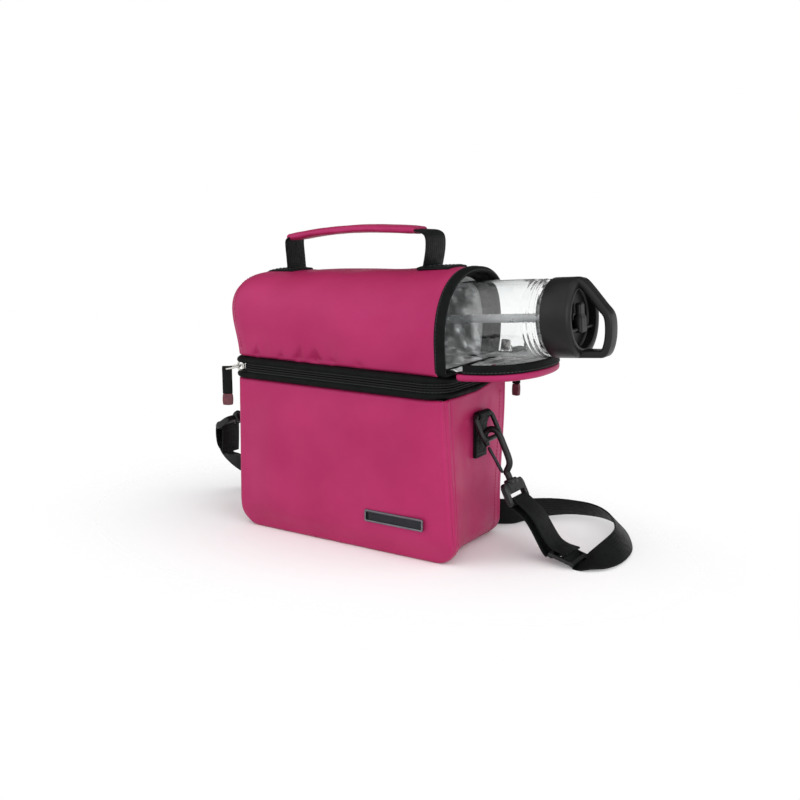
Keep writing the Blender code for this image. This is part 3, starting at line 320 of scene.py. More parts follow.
def fit(piece, body, slot, *stands, pad=None):
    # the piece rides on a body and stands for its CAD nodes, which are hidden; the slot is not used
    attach(piece, body)
    if stands:
        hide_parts(*stands)


def weld(piece):
    # points that fall together become one
    mesh = bmesh.new()
    mesh.from_mesh(piece.data)
    bmesh.ops.remove_doubles(mesh, verts=mesh.verts, dist=1e-7)
    mesh.to_mesh(piece.data)
    mesh.free()
    return piece


def thicken(piece, thickness):
    # a wall grown inwards from the shown face
    wall = piece.modifiers.new("wall", "SOLIDIFY")
    wall.thickness = thickness * mm
    wall.offset = -1
    return piece


def linear(hexColour):
    # sRGB hex to linear light
    c = np.array([int(hexColour[k:k + 2], 16) for k in (1, 3, 5)]) / 255
    return (*np.where(c <= 0.04045, c / 12.92, ((c + 0.055) / 1.055) ** 2.4), 1.0)


def addNode(tree, kind, inputs, **settings):
    # one node: settings are its own fields, inputs are values or the sockets that feed it
    node = tree.nodes.new("ShaderNode" + kind)
    for field, value in settings.items():
        setattr(node, field, value)
    for socket, value in inputs.items():
        if isinstance(value, bpy.types.NodeSocket):
            tree.links.new(value, node.inputs[socket])
        else:
            node.inputs[socket].default_value = value
    return node


def objectPlace(tree):
    return addNode(tree, "TexCoord", {}).outputs["Object"]


def spread(tree, value, fromMin, fromMax, toMin=0.0, toMax=1.0, kind="LINEAR"):
    # a value carried from one range into another
    return addNode(tree, "MapRange", {"Value": value, "From Min": fromMin, "From Max": fromMax, "To Min": toMin,
                                      "To Max": toMax}, interpolation_type=kind).outputs["Result"]


def noise(tree, coords, size, detail):
    # soft patches of the given size in mm
    return addNode(tree, "TexNoise", {"Vector": coords, "Scale": 1 / (size * mm),
                                      "Detail": detail}).outputs["Fac"]


def cells(tree, coords, size, feature):
    # distance within cells of the given size in mm
    return addNode(tree, "TexVoronoi", {"Vector": coords, "Scale": 1 / (size * mm)},
                   feature=feature).outputs["Distance"]


def threads(tree, coords, pitch, way):
    # one band each pitch mm: a wave texture repeats every 0.314 / scale metres
    return addNode(tree, "TexWave", {"Vector": coords, "Scale": 0.314159 / (pitch * mm)},
                   bands_direction=way).outputs["Fac"]


def weave(tree, coords, warp, weft):
    # two crossed sets of threads multiplied: a plain weave
    return addNode(tree, "Math", {0: threads(tree, coords, warp, "X"), 1: threads(tree, coords, weft, "Y")},
                   operation="MULTIPLY").outputs[0]


sockets = dict(specular="Specular IOR Level", tint="Specular Tint", metallic="Metallic", ior="IOR",
               clear="Transmission Weight", sheen="Sheen Weight", rough="Roughness")


def finish(name, low, high, patch, gloss=None, bump=None, sewn=False, streak=None, **values):
    # a Principled material: plain values on its own sockets, colour that drifts between two near tones in
    # patches of a size in mm, roughness that drifts from gloss[0] to gloss[1] in patches of gloss[2], and
    # a bump (height, its sizes, strength, depth in mm). Cloth is drawn on its UVs, the rest on the object.
    material = bpy.data.materials.new(name)
    material.use_nodes = True
    tree = material.node_tree
    shader = tree.nodes["Principled BSDF"]
    for key, value in values.items():
        shader.inputs[sockets[key]].default_value = value
    woven = bump and bump[0] in (weave, threads)
    uv = addNode(tree, "UVMap", {}, uv_map="UVMap").outputs["UV"] if woven else None
    coords = uv if sewn else objectPlace(tree)
    if streak:
        coords = addNode(tree, "Mapping", {"Vector": coords, "Scale": streak}).outputs["Vector"]
    patches = noise(tree, coords, patch, 3.0)
    mix = addNode(tree, "ValToRGB", {"Fac": patches})
    for k, colour in enumerate((low, high)):
        mix.color_ramp.elements[k].position = (0.3, 0.7)[k]
        mix.color_ramp.elements[k].color = linear(colour)
    tree.links.new(mix.outputs["Color"], shader.inputs["Base Color"])
    if gloss:
        rough = spread(tree, noise(tree, coords, gloss[2], 4.0), 0.3, 0.7, gloss[0], gloss[1])
        tree.links.new(rough, shader.inputs["Roughness"])
    if bump:
        height, sizes, strength, depth = bump
        height = patches if streak else height(tree, uv if woven else coords, *sizes)
        normal = addNode(tree, "Bump", {"Height": height, "Strength": strength, "Distance": depth * mm})
        tree.links.new(normal.outputs["Normal"], shader.inputs["Normal"])
    return material


def studioFloor():
    # matt white paper with a barely seen tooth, which fades into the white walls over an oval, 13 to 40 cm out
    material = finish("studio paper, white", "#FAFAFA", "#FCFCFC", 300, (0.88, 0.95, 50), specular=0.1)
    tree = material.node_tree
    place = addNode(tree, "VectorMath", {0: objectPlace(tree), 1: (1, 1.6, 1)}, operation="MULTIPLY")
    far = addNode(tree, "VectorMath", {0: place.outputs["Vector"]}, operation="LENGTH").outputs["Value"]
    fade = spread(tree, far, 0.13, 0.4, 1.0, 0.0, "SMOOTHSTEP")
    tree.links.new(fade, tree.nodes["Principled BSDF"].inputs["Alpha"])
    return material


# PU-coated 600D polyester: a tight plain weave under a satin film, so a broad milky shine.
# The 0.45 mm thread is drawn at 1.1 mm, or it would not show.
magenta = finish("coated polyester, magenta", "#9A1F4C", "#A52856", 60, (0.4, 0.52, 25),
                 (weave, (1.1, 1.1), 0.2, 0.12), specular=0.38, tint=(0.72, 0.42, 1.0, 1.0))
# polyester zip tape: matt black, with a diagonal twill drawn at 1.2 mm
tape = finish("woven zip tape, black", "#050606", "#0B0D0D", 9, (0.55, 0.72, 6),
              (threads, (1.2, "DIAGONAL"), 0.35, 0.2), sewn=True, specular=0.1)
# ribbed nylon webbing: a cord every 1.8 mm across the strap, a softer line every 2.6 mm along it
webbing = finish("nylon webbing, black", "#060707", "#0D0F10", 7, (0.42, 0.6, 5),
                 (weave, (1.8, 2.6), 0.6, 0.35), sewn=True, specular=0.12)
# extruded nylon monofilament of the zip coil: smooth, dark and a little glossy
coil = finish("nylon coil, black", "#050606", "#0A0B0C", 4, (0.28, 0.42, 3), specular=0.3)
# twisted polyester thread with a slight lustre
twisted = dict(patch=5, gloss=(0.45, 0.6, 4), specular=0.45, sheen=0.1)
pinkThread = finish("polyester thread, magenta", "#96204F", "#A52B5C", **twisted)
blackThread = finish("polyester thread, black", "#161718", "#26282A", **twisted)
# aluminised film on foam: bright metal in flat facets between sharp creases, drawn 11 mm across
foil = finish("aluminised film, creased", "#F7F8F9", "#FFFFFF", 18, (0.18, 0.32, 12),
              (cells, (11, "DISTANCE_TO_EDGE"), 0.6, 1.8), metallic=0.35)
# injection moulded acetal: dark satin with a fine spark-eroded grain, drawn at 0.7 mm
acetal = finish("moulded acetal, black", "#0B0C0D", "#141516", 10, (0.3, 0.42, 6), (noise, (0.7, 2.0), 0.12, 0.08),
                specular=0.35, ior=1.48)
# nickel-plated zinc casting: bright, slightly warm, with a soft haze of handling
nickel = finish("nickel plated zinc", "#B9B7B2", "#D6D5D1", 6, (0.16, 0.32, 4), metallic=1.0)
# gunmetal-plated steel, brushed along its length: fine streaks 12 mm long, drawn 0.5 mm apart
brushed = dict(patch=0.5, gloss=(0.24, 0.42, 0.5), bump=(None, (), 0.15, 0.05), streak=(0.04, 1, 1), metallic=1.0)
gunmetal = finish("gunmetal plate, brushed", "#5E5F63", "#7A7B80", **brushed)
gunmetalField = finish("gunmetal field, dark", "#2B2C2F", "#3A3B3F", **brushed)
# soft PVC puller end: plum, satin, finely grained
plum = finish("moulded soft PVC, plum", "#4A2029", "#663039", 6, (0.42, 0.58, 4), (noise, (0.8, 2.0), 0.15, 0.1),
              specular=0.45)
# blow moulded clear copolyester: water clear, with a faint moulding ripple every 14 mm
clearPlastic = finish("clear copolyester", "#FBFDFD", "#FFFFFF", 40, None, (noise, (14, 1.0), 0.05, 0.4),
                      clear=1.0, ior=1.54, specular=0.2, rough=0.015)
# injection moulded polypropylene: near black, satin, with a fine texture drawn at 0.8 mm
lidPlastic = finish("polypropylene, satin black", "#0C0C0D", "#131314", 16, (0.33, 0.45, 9),
                    (noise, (0.8, 2.0), 0.1, 0.06), specular=0.27, ior=1.49)
# moulded silicone seal: grey, soft and slightly dusty
silicone = finish("silicone, grey", "#7F8182", "#96989A", 5, (0.5, 0.68, 5), specular=0.4, ior=1.41)
# extruded polyethylene: milky and half clear
strawPlastic = finish("extruded polyethylene, frosted", "#E3E6E8", "#F2F4F5", 15, (0.24, 0.36, 8),
                      clear=0.55, ior=1.5)
# closed-cell foam board: grey, matt, with 2 mm cells
board = finish("closed cell foam board", "#4C4D50", "#626368", 8, (0.75, 0.9, 6), (cells, (2, "F1"), 0.3, 0.3),
               specular=0.3)
print("materials:", len(bpy.data.materials))

studio = dict(place=(0.561, -0.821, 0.322), turn=(78.7, 0, 32.8), lens=49.32, wall=1.0, boxes=1.45,
              ceiling=1.05, flag=0.1, flagWay=(-0.54, 0.84, 0), wallTop=(0.156, 0.2), boxTop=(0.8, 0.9),
              flagEdge=(0.1, 0.45), sensor=36, floor=1000,
              bounces=dict(max_bounces=32, transmission_bounces=24, diffuse_bounces=10, glossy_bounces=8))
# soft boxes: (name, place, aim, size, power)
softBoxes = [("key", (-1.1, -1.5, 0.75), (0, 0, 0.15), 1.2, 2), ("fill", (1.35, -0.6, 0.5), (0.1, 0, 0.17), 0.8, 4)]


def lamp(name, place, aim, size, power):
    # a square soft box turned to its aim
    light = bpy.data.lights.new(name, "AREA")
    light.size = size
    light.energy = power
    holder = bpy.data.objects.new(name, light)
    bpy.context.scene.collection.objects.link(holder)
    holder.location = place
    holder.rotation_euler = (Vector(aim) - Vector(place)).to_track_quat("-Z", "Y").to_euler()


def makeWorld(studio):
    # white walls up to 9 degrees, soft boxes from there to 58, a duller ceiling over them, and a dark flag hung
    # at the back: wall + step * (boxes or flag by direction, then ceiling), by sine of the height
    world = bpy.data.worlds.new("studio")
    world.use_nodes = True
    tree = world.node_tree
    wall = studio["wall"]
    way = addNode(tree, "TexCoord", {}).outputs["Generated"]
    height = addNode(tree, "SeparateXYZ", {"Vector": way}).outputs["Z"]
    facing = addNode(tree, "VectorMath", {0: way, 1: studio["flagWay"]}, operation="DOT_PRODUCT").outputs["Value"]
    over = spread(tree, height, *studio["wallTop"], kind="SMOOTHSTEP")
    high = spread(tree, height, *studio["boxTop"], kind="SMOOTHSTEP")
    back = spread(tree, facing, *studio["flagEdge"], kind="SMOOTHSTEP")
    aloft = spread(tree, back, 0.0, 1.0, studio["boxes"] - wall, studio["flag"] - wall)
    aloft = spread(tree, high, 0.0, 1.0, aloft, studio["ceiling"] - wall)
    above = addNode(tree, "Math", {0: over, 1: aloft}, operation="MULTIPLY").outputs[0]
    light = addNode(tree, "Math", {0: above, 1: wall}, operation="ADD").outputs[0]
    tree.links.new(light, tree.nodes["Background"].inputs["Strength"])
    tree.nodes["Background"].inputs["Color"].default_value = (1, 1, 1, 1)
    return world


def setStage(studio):
    scene = bpy.context.scene
    lens = bpy.data.cameras.new("camera")
    lens.lens = studio["lens"]
    lens.sensor_width = studio["sensor"]
    camera = bpy.data.objects.new("camera", lens)
    camera.location = studio["place"]
    camera.rotation_euler = np.radians(studio["turn"])
    scene.collection.objects.link(camera)
    scene.camera = camera
    scene.world = makeWorld(studio)
    scene.view_settings.view_transform = "Standard"
    for field, count in studio["bounces"].items():
        setattr(scene.cycles, field, count)
    for box in softBoxes:
        lamp(*box)
    steps = np.linspace(-1, 1, 9) * studio["floor"]
    flat = np.stack(np.meshgrid(steps, steps, indexing="ij"), -1)
    surface("floor", inSpace(flat, 0, 2), studioFloor(), inside=(0, 0, -100))


setStage(studio)
print("stage set")

# shoulder strap, with its run over the floor as x, y, lean from flat in degrees and height: out from the glide,
# round to a folded hank behind the bag, and on to the left hook
strapShape = dict(width=25, thick=1.7, edge=0.8, fold=3.9, glide=(197, 10, 7.5), slope=15, barDrop=81.2, lift=0.3,
                  rest=1.6, floor=0.1, ring=(114.1, 6, 122), hang=dict(right=-27, left=57))
strapLaid = [(215, 9, 4, 2.6), (223, 18, 18, 1.2), (228, 40, 42, 0.6), (224, 68, 50, 0.4), (207, 102, 48, 0),
             (190, 124, 45, 0), (170, 137, 44, 0), (148, 134, 48, 0), (130, 119, 58, 0), (117, 98, 72, 0),
             (104, 80, 88, 0), (76, 69, 90, 0), (20, 68, 90, 0), (-36, 68.5, 90, 0), (-48, 76, 90, 0),
             (-36, 83.5, 90, 0), (10, 84, 90, 0), (48, 84.5, 90, 0), (60, 92, 90, 0), (48, 99.5, 90, 0),
             (0, 100.5, 90, 0), (-60, 101, 90, 0), (-112, 98, 90, 0), (-146, 86, 90, 1), (-171, 65, 74, 4),
             (-187, 39, 46, 17), (-193, 19, 16, 40)]


def hangFrame(side, points):
    # points hung from a ring's pivot, turned about Y so that -Z leans out from the side
    place = turned(points, strapShape["hang"]["right" if side > 0 else "left"], 1)
    return place + np.array(strapShape["ring"]) * (side, 1, 1)


def strapRoute(shape):
    # the strap's middle line and the direction of its width, one row (x, y, z, ux, uy, uz) a point
    right, left = (hangFrame(side, (0, 0, -shape["barDrop"])) for side in (1, -1))
    glide = np.array(shape["glide"], float)
    run, lift = turned([toRight, toTop], shape["slope"], 1)
    away = unit(glide - right)
    out = np.array([-away[2], 0, away[0]])
    fold = shape["fold"]

    def byGlide(*places):
        return [[*(glide + run * along + lift * up), 0, 1, 0] for along, up in places]

    def byBar(*places):
        return [[*(right + away * along * fold + out * up * fold), 0, 1, 0] for along, up in places]

    def byLeft(*places):
        turns = [(np.radians(turn), drop) for turn, drop in places]
        return [[left[0] + fold * np.cos(t), left[1], left[2] + fold * np.sin(t) - drop, 0, -1, 0]
                for t, drop in turns]

    doubled = [*byGlide((4, 5.3), (-14, 5.5)),
               *byBar((5, 1.3), (0, 1), (-0.71, 0.71), (-1, 0), (-0.71, -0.71), (0, -1), (5, -0.5)),
               *byGlide((-18, -2.6), (-13, -3.1), (-9.2, -3.2), (-5, 0), (-1.8, 2.9), (1.8, 2.9), (5, 0),
                        (9.2, -2.8), (13, -1.3))]
    loose = np.array(strapLaid, float)
    x, y, lean, up = loose.T
    lean = np.radians(lean)
    ends = np.concatenate([loose[:1], loose, loose[-1:]])[:, :2]
    ahead = unit(ends[2:] - ends[:-2])
    z = shape["lift"] + (shape["width"] * np.sin(lean) + shape["rest"] * np.cos(lean)) / 2 + up
    laid = np.stack([x, y, z, -ahead[:, 1] * np.cos(lean), ahead[:, 0] * np.cos(lean), np.sin(lean)], -1)
    hung = byLeft((185, 13), (180, 0), (135, 0), (90, 0), (45, 0), (0, 0), (-20, 12), (-45, 26))
    return np.concatenate([doubled, laid, hung])


def makeStrap(shape):
    # flat webbing: a round-edged profile 25 mm wide carried along the route, kept above the floor
    rows = curve(strapRoute(shape), 8)
    path, across = rows[:, :3], rows[:, 3:]
    grid = sweep(path, across, roundBox(shape["width"] / 2, shape["thick"] / 2, shape["edge"], 4))
    grid[..., 2] = np.maximum(grid[..., 2], shape["floor"])
    strap = solid("strapWebbing", grid, webbing)
    fit(strap, "lower", "webbing", "shoulder_strap")


tabShape = dict(wrap=3.05, back=111.1, front=112.75, foot=84, profile=(10, 0.75, 0.7, 4), face=113.6)
boxStitch = [(-7, 87), (7, 87), (7, 104), (-7, 104), (-7, 87), (7, 104), (7, 87), (-7, 104)]


def ringTab(side, name, shape):
    # webbing folded round the ring: up the bag, round its bar and down again, sewn with a crossed box
    x, y, z = strapShape["ring"]
    bar = (x, z) + shape["wrap"] * arc(180, -60, 15)
    down = [(114.4, 117.8), (113, 113.5), (shape["front"], 108), (shape["front"], shape["foot"])]
    flat = np.concatenate([[(shape["back"], shape["foot"]), (shape["back"], 105)], bar, down])
    path = inSpace(evenly(flat, 70) * (side, 1), y, 1)
    piece = solid("tabWebbing_" + name, sweep(path, toBack, roundBox(*shape["profile"])), webbing)
    fit(piece, "lower", "webbing", "ring_tab_" + name)
    line = inSpace(np.array(boxStitch) + (y, 0), side * shape["face"], 0)
    sewn = stitches("tabStitches_" + name, evenly(line, 120), side * toRight, blackThread)
    fit(sewn, "lower", "webbing")


hookShape = dict(ring=(15, 11, 4.5, 7), ringWire=2.2, bend=7.5, crown=-22, neck=-53.9, wire=2.9, foot=-70,
                 tipGirth=(2.0, 2.7), footGirth=(3.6, 3.84, 3.3), gateFoot=-4.3, gateTip=-28.4)
gateGirth = [0.9, 1.45, 1.6, 1.6, 1.5, 1.4, 1.4, 1.4, 1.4, 1.5, 1.6, 1.5, 1.0]


def hookSet(side, name, shape):
    # ring, hook and gate as round bars along their middle lines, in the frame that hangs from the ring's bar
    box = roundBox(*shape["ring"]) - (0, shape["ring"][1])
    wide = hangFrame(side, toRight) - hangFrame(side, (0, 0, 0))
    ring = tube("ring_" + name + "_bar", hangFrame(side, inSpace(box, 0, 0)), shape["ringWire"], acetal, wide,
                closed=True, sides=18)
    fit(ring, name + "_ring", "moulded", "ring_" + name)
    bend, crown, neck, foot = (shape[key] for key in ("bend", "crown", "neck", "foot"))
    over = (0, crown) + bend * arc(180, 0, 19)
    shank = curve([over[-1], (bend, neck + 24), (6.4, neck + 7), (0, neck), (0, neck - 2)], 8)
    flat = np.concatenate([[(-bend, -27.3), (-bend, -25)], over, shank[1:],
                           [(0, foot), (0, foot - 0.05), (0, foot - 1.9), (0, foot - 2)]])
    radius = np.full(len(flat), shape["wire"])
    radius[:2], radius[-3:] = shape["tipGirth"], shape["footGirth"]
    hook = tube("hook_" + name + "_bar", hangFrame(side, inSpace(flat, 0, 1)), radius, acetal, sides=18)
    fit(hook, name + "_hook", "moulded", "hook_" + name)
    lever = np.linspace((shape["gateFoot"], neck), (-bend, shape["gateTip"]), len(gateGirth))
    gate = tube("gate_" + name + "_bar", hangFrame(side, inSpace(lever, 0, 1)), gateGirth, gunmetalField, sides=14)
    fit(gate, name + "_gate", "nickel", "gate_" + name)


# (half width, half height, middle, corner) of the outline and the slot, and rings (which, inset, x) round them
eyeOutline, eyeSlot = (17.4, 10.4, -73.0, 4), (13.2, 3.1, -76.3, 1.6)
eyeRings = [(eyeOutline, 1.0, -2.9), (eyeOutline, 0, -1.9), (eyeOutline, 0, 1.9), (eyeOutline, 1.0, 2.9),
            (eyeSlot, -0.8, 2.9), (eyeSlot, 0, 2.1), (eyeSlot, 0, -2.1), (eyeSlot, -0.8, -2.9)]
collarTurn = [(0.5, -66), (5.6, -66), (6, -64.5), (6, -61.8), (5.2, -60.8), (3.2, -60.6), (0.5, -60.6)]


def eyePlate(side, name):
    # thick moulded plate with a slot for the strap, joined face, edge and slot, and the collar of its swivel
    rings = []
    for (halfP, halfQ, middle, corner), inset, x in eyeRings:
        ring = evenly(roundBox(halfP - inset, halfQ - inset, corner, 6), 80, closed=True)
        rings.append(inSpace(ring + (0, middle), x, 0))
    for label, grid, stands in (("eyePlate_", np.stack(rings), ["strap_eye_" + name]),
                                ("eyeCollar_", lathe(collarTurn, 32), [])):
        piece = surface(label + name, hangFrame(side, grid), acetal, closedU=True, closedV=True, crease=40)
        fit(piece, "lower", "moulded", *stands)


for side, name in ((1, "right"), (-1, "left")):
    eyePlate(side, name)
makeStrap(strapShape)
for side, name in ((1, "right"), (-1, "left")):
    ringTab(side, name, tabShape)
    hookSet(side, name, hookShape)
print("strap and hooks done")

lowerShell = dict(half=110.0, depth=58.0, top=143.0, corner=17.0, edge=3.5, backEdge=11.0, crown=3.2, swell=46,
                  flareRight=12, flareLeft=3, strip=10, zipRise=4.5, tuckUnder=5, pad=2.5, inside=(0, 0, 70),
                  crownFoot=(-8, 38), crownTop=(-6, 40))
# gusset: heights of its edge strip, sewn groove, sunk edges, slack and hollow, and the place of the ring tabs
gusset = dict(strip=1.5, groove=1.3, grooveWidth=1.1, sink=1.4, sinkWidth=0.7, slack=1.5, slackRun=92, wrinkle=0.5,
              hollow=1.6, hollowPlace=(-18, 112), hollowSize=(13, 26), tabMiddle=6, tabHalf=24, tabFoot=(72, 86),
              tabTop=136, backSeam=0.915)


def flared(x, y, z):
    # the front of the shell stands wider towards its base: share of height x share of depth
    s = lowerShell
    low = 1 - np.clip(z / s["top"], 0, 1)
    reach = np.where(x > 0, s["flareRight"], s["flareLeft"])
    return x + reach * low * ramp(-y, 6, 58) * x * np.abs(x) / s["half"] ** 2


def backEdge(z):
    # the back edge is rounder at the base than under the zip
    s = lowerShell
    return s["edge"] + (s["backEdge"] - s["edge"]) * (1 - ramp(z, 40, 130))


def frontTuck(z):
    # the front turns under towards the floor
    return lowerShell["tuckUnder"] * (1 - ramp(z, 0, 30)) ** 1.5


def zipRise(y):
    # the zip band narrows from below as it runs to the back
    return lowerShell["zipRise"] * ramp(y, -5, 30)


def panelGrid(side):
    # x = u * half width at height z; depth = quarter round by the distance to the outline, plus a
    # crown that is a product of three smooth steps, plus slow noise
    s = lowerShell
    u = np.sin(np.linspace(-1, 1, 121) * np.pi / 2)
    u, z = np.meshgrid(u, s["top"] * eased(91), indexing="ij")
    r = s["corner"]
    x = u * (s["half"] - r + np.sqrt(r ** 2 - np.clip(r - z, 0, r) ** 2))
    inner = s["half"] - np.abs(x)
    over, under = np.clip(r - inner, 0, None), np.clip(r - z, 0, None)
    gap = np.where((over > 0) & (under > 0), r - np.hypot(over, under), np.minimum(inner, z))
    gap = np.clip(np.minimum(gap, s["top"] - z), 0, None)
    edge = np.full_like(z, s["edge"]) if side < 0 else backEdge(z)
    bow = np.sqrt(np.clip(edge ** 2 - (edge - np.minimum(gap, edge)) ** 2, 0, None))
    body = ramp(inner, 0, s["swell"]) * ramp(z, *s["crownFoot"]) * ramp(s["top"] - z, *s["crownTop"])
    flat = np.stack([x, z], -1)
    slack = 0.45 * softNoise(flat, 75, 11 + side) * ramp(gap, 2, 30)
    pucker = 0.22 * softNoise(flat, 11, 21 + side) * np.exp(-gap / 6) * ramp(gap, 0.5, 3)
    edge = edge + frontTuck(z) * (side < 0)
    y = side * (s["depth"] - edge + bow + s["crown"] * body + slack + pucker)
    grid = np.pad(np.stack([flared(x, y, z), y, z], -1), ((1, 1), (1, 1), (0, 0)), mode="edge")
    tuck = side * (s["depth"] - np.pad(edge, 1, mode="edge") - 2)
    grid[[0, -1], :, 1], grid[:, [0, -1], 1] = tuck[[0, -1]], tuck[:, [0, -1]]
    return grid


def outward(line):
    # normals of a planar line that lie to the right of its run
    along = unit(np.gradient(line, axis=0))
    return np.stack([along[:, 1], -along[:, 0]], -1)


def gussetLine(count=60):
    # outline (x, z) of the front view from the top left, down, along the base and up
    s = lowerShell
    r, h = s["corner"], s["half"]
    left = (r - h, r) + r * arc(180, 270, 19)
    wall = np.linspace((-h, s["top"]), (-h, r), count)[:-1]
    base = np.linspace((r - h, 0), (h - r, 0), count)[1:-1]
    return np.concatenate([wall, left, base, left[::-1] * (-1, 1), wall[::-1] * (-1, 1)])


def gussetGrid(share, lift=0.0):
    # outline point + outward normal * height across the strip: a raised edge strip, a sewn groove,
    # then a slack middle that stays flat under the ring tabs and on the floor
    s, g = lowerShell, gusset
    line = gussetLine()
    x, z = line[:, :1], line[:, 1:]
    front, back = -s["depth"] + s["edge"] + frontTuck(z), s["depth"] - backEdge(z)
    y = front + (back - front) * share[None]
    near, far = y - front, back - y
    height = g["strip"] * np.sin(np.pi * np.clip(near / s["strip"], 0, 1))
    height = height - g["groove"] * dent(near - s["strip"], g["grooveWidth"])
    height = height - g["sink"] * (np.exp(-near / g["sinkWidth"]) + np.exp(-far / g["sinkWidth"]))
    flat = np.stack(np.broadcast_arrays(y, z, x), -1)
    tab = ramp(g["tabHalf"] - np.abs(y - g["tabMiddle"]), 0, 9)
    tab = tab * ramp(z, *g["tabFoot"]) * ramp(g["tabTop"] - z, 0, 12)
    middle = np.sin(np.pi * np.clip((near - s["strip"]) / g["slackRun"], 0, 1))
    (hy, hz), (wide, tall) = g["hollowPlace"], g["hollowSize"]
    hollow = g["hollow"] * dent(y - hy, wide) * dent(z - hz - y / 2, tall)
    slack = (g["slack"] + g["wrinkle"] * softNoise(flat, 45, 31)) * middle - hollow
    height = (height + slack * (1 - tab)) * ramp(z, 3, 26) + lift
    normal = outward(line)
    px = x + normal[:, :1] * height
    pz = z + normal[:, 1:] * np.where(z < 3, np.minimum(height, 0), height) + zipRise(y) * ramp(z, 118, 143)
    return np.stack([flared(px, y, pz), y, pz], -1)


def makeLower():
    s = lowerShell
    for side, name in ((-1, "front"), (1, "back")):
        panel = weld(surface("panel_" + name, panelGrid(side), magenta, inside=s["inside"], crease=60))
        fit(thicken(panel, s["pad"]), "lower", "magenta_fabric", f"lower_{name}_panel", pad=0.75)
    strip = surface("gusset", gussetGrid(eased(73)), magenta, inside=s["inside"], crease=60)
    fit(thicken(strip, s["pad"]), "lower", "magenta_fabric", "lower_gusset", pad=0.7)
    out = inSpace(outward(gussetLine()), 0, 1)
    for name, at in (("front", s["strip"] / (2 * s["depth"] - s["edge"] - 7)), ("back", gusset["backSeam"])):
        rows = gussetGrid(np.array([at]), 0.15)[:, 0]
        rows[:, 2] += 0.4 * (1 - ramp(rows[:, 2], 0, 4))
        sewn = stitches("gussetStitches_" + name, rows[4:-4], out[4:-4], pinkThread)
        fit(sewn, "lower", "magenta_fabric")


tub = dict(plan=(102.4, 50.4, 6, 6), rim=142.9, foot=22, floor=8.8, drop=13, inset=11, around=220, wall=0.6,
           folds=[(0.9, 40, 41), (0.4, 15, 42)])


def makeLowerLining(shape):
    # foil tub: rounded plan rings down the wall, round the foot and in over the floor, creased inwards
    turn = np.linspace(0.1, 1, 10) * np.pi / 2
    level = np.concatenate([np.linspace(shape["rim"], shape["foot"], 60),
                            shape["floor"] + shape["drop"] * (1 - np.sin(turn)), np.full(30, shape["floor"])])
    inset = np.concatenate([np.zeros(60), shape["inset"] * (1 - np.cos(turn)), np.full(30, shape["inset"])])
    shrink = np.concatenate([np.ones(70), np.linspace(0.95, 0.02, 30)])
    plan = evenly(roundBox(*shape["plan"]), shape["around"], closed=True)
    scale = (1 - inset[:, None] / shape["plan"][:2]) * shrink[:, None]
    grid = inSpace(plan[None] * scale[:, None], level[:, None], 2)
    grid = relief(grid, -creases(grid, 1.1, 0.1, 3, shape["folds"]), lowerShell["inside"])
    piece = surface("liningTub", grid, foil, closedV=True, capEnd=True, inside=lowerShell["inside"], crease=35)
    fit(thicken(piece, shape["wall"]), "lower", "foil", "lower_lining")


makeLower()
makeLowerLining(tub)
print("lower compartment done")

zipBand = dict(half=110.0, depth=58.0, corner=20.0, back=53.7, middle=153.0, edge=9.7, coilOut=0.55, coilUp=0.98,
               sewnOut=1.0, sewnUp=3.3, flare=5.5, flareWay=(-0.82, -0.56))


def zipLine(count):
    # plan of the zip from the back left corner round the front to the back right
    s = zipBand
    r = s["corner"]
    left = (r - s["half"], r - s["depth"]) + r * arc(180, 270, 25)
    line = np.concatenate([[(-s["half"], s["back"])], left, left[::-1] * (-1, 1), [(s["half"], s["back"])]])
    return relax(evenly(line, count), 3, closed=False)


def bandGrid(line, profile):
    # profile (outward, up) carried along the plan line
    out, up = profile[..., :1], profile[..., 1]
    return inSpace(line[:, None] + outward(line)[:, None] * out, zipBand["middle"] + up, 2)


def tapeHalf(up):
    # one half of the band: a rolled outer edge, a flat by the coil, and a flange into the seam. It flares out
    # at the slider's corner.
    s = zipBand
    line = zipLine(240)
    roll = (-0.4, -6.6) + arc(-100, 62, 13) * (3.7, 3.1)
    half = np.concatenate([[(-5, -9.6), (-2, -s["edge"])], roll,
                           [(0.9, -3.1), (0.6, -2.2), (0.3, -0.25), (-0.6, -0.17), (-5, -0.17)]])
    profile = np.repeat(half[None], len(line), 0)
    profile[..., 1] *= -1 if up else (1 - zipRise(line[:, 1]) / s["edge"])[:, None]
    tall = np.abs(profile[..., 1])
    ripple = 0.18 * softNoise(line, 17, 51 + up)[:, None] * ramp(tall, 3, 6)
    corner = s["flare"] * ramp(outward(line) @ np.array(s["flareWay"]), 0.7, 1.0)[:, None]
    profile[..., 0] += ripple + corner * ramp(tall, 3.2, 5) * (profile[..., 0] > -2.5)
    return bandGrid(line, profile)


def makeZip():
    s = zipBand
    line = zipLine(400)
    for up, name in ((False, "lower"), (True, "upper")):
        half = solid("zipTape_" + name, tapeHalf(up), tape, crease=40)
        fit(half, name, "zip_tape", name + "_zip_tape")
        sign = 1 if up else -1
        row, edge = (bandGrid(line, np.tile((out, sign * high), (len(line), 1, 1)))[:, 0]
                     for out, high in ((s["coilOut"], s["coilUp"]), (s["sewnOut"], s["sewnUp"])))
        fit(coilRow("zipCoil_" + name, row, toTop, sign, 0.8), name, "zip_tape")
        sewn = stitches("zipStitches_" + name, edge, inSpace(outward(line), 0, 2), blackThread, 0.3)
        fit(sewn, name, "zip_tape")


backHinge = dict(half=107.5, low=142, high=164, fold=153, face=57.3)


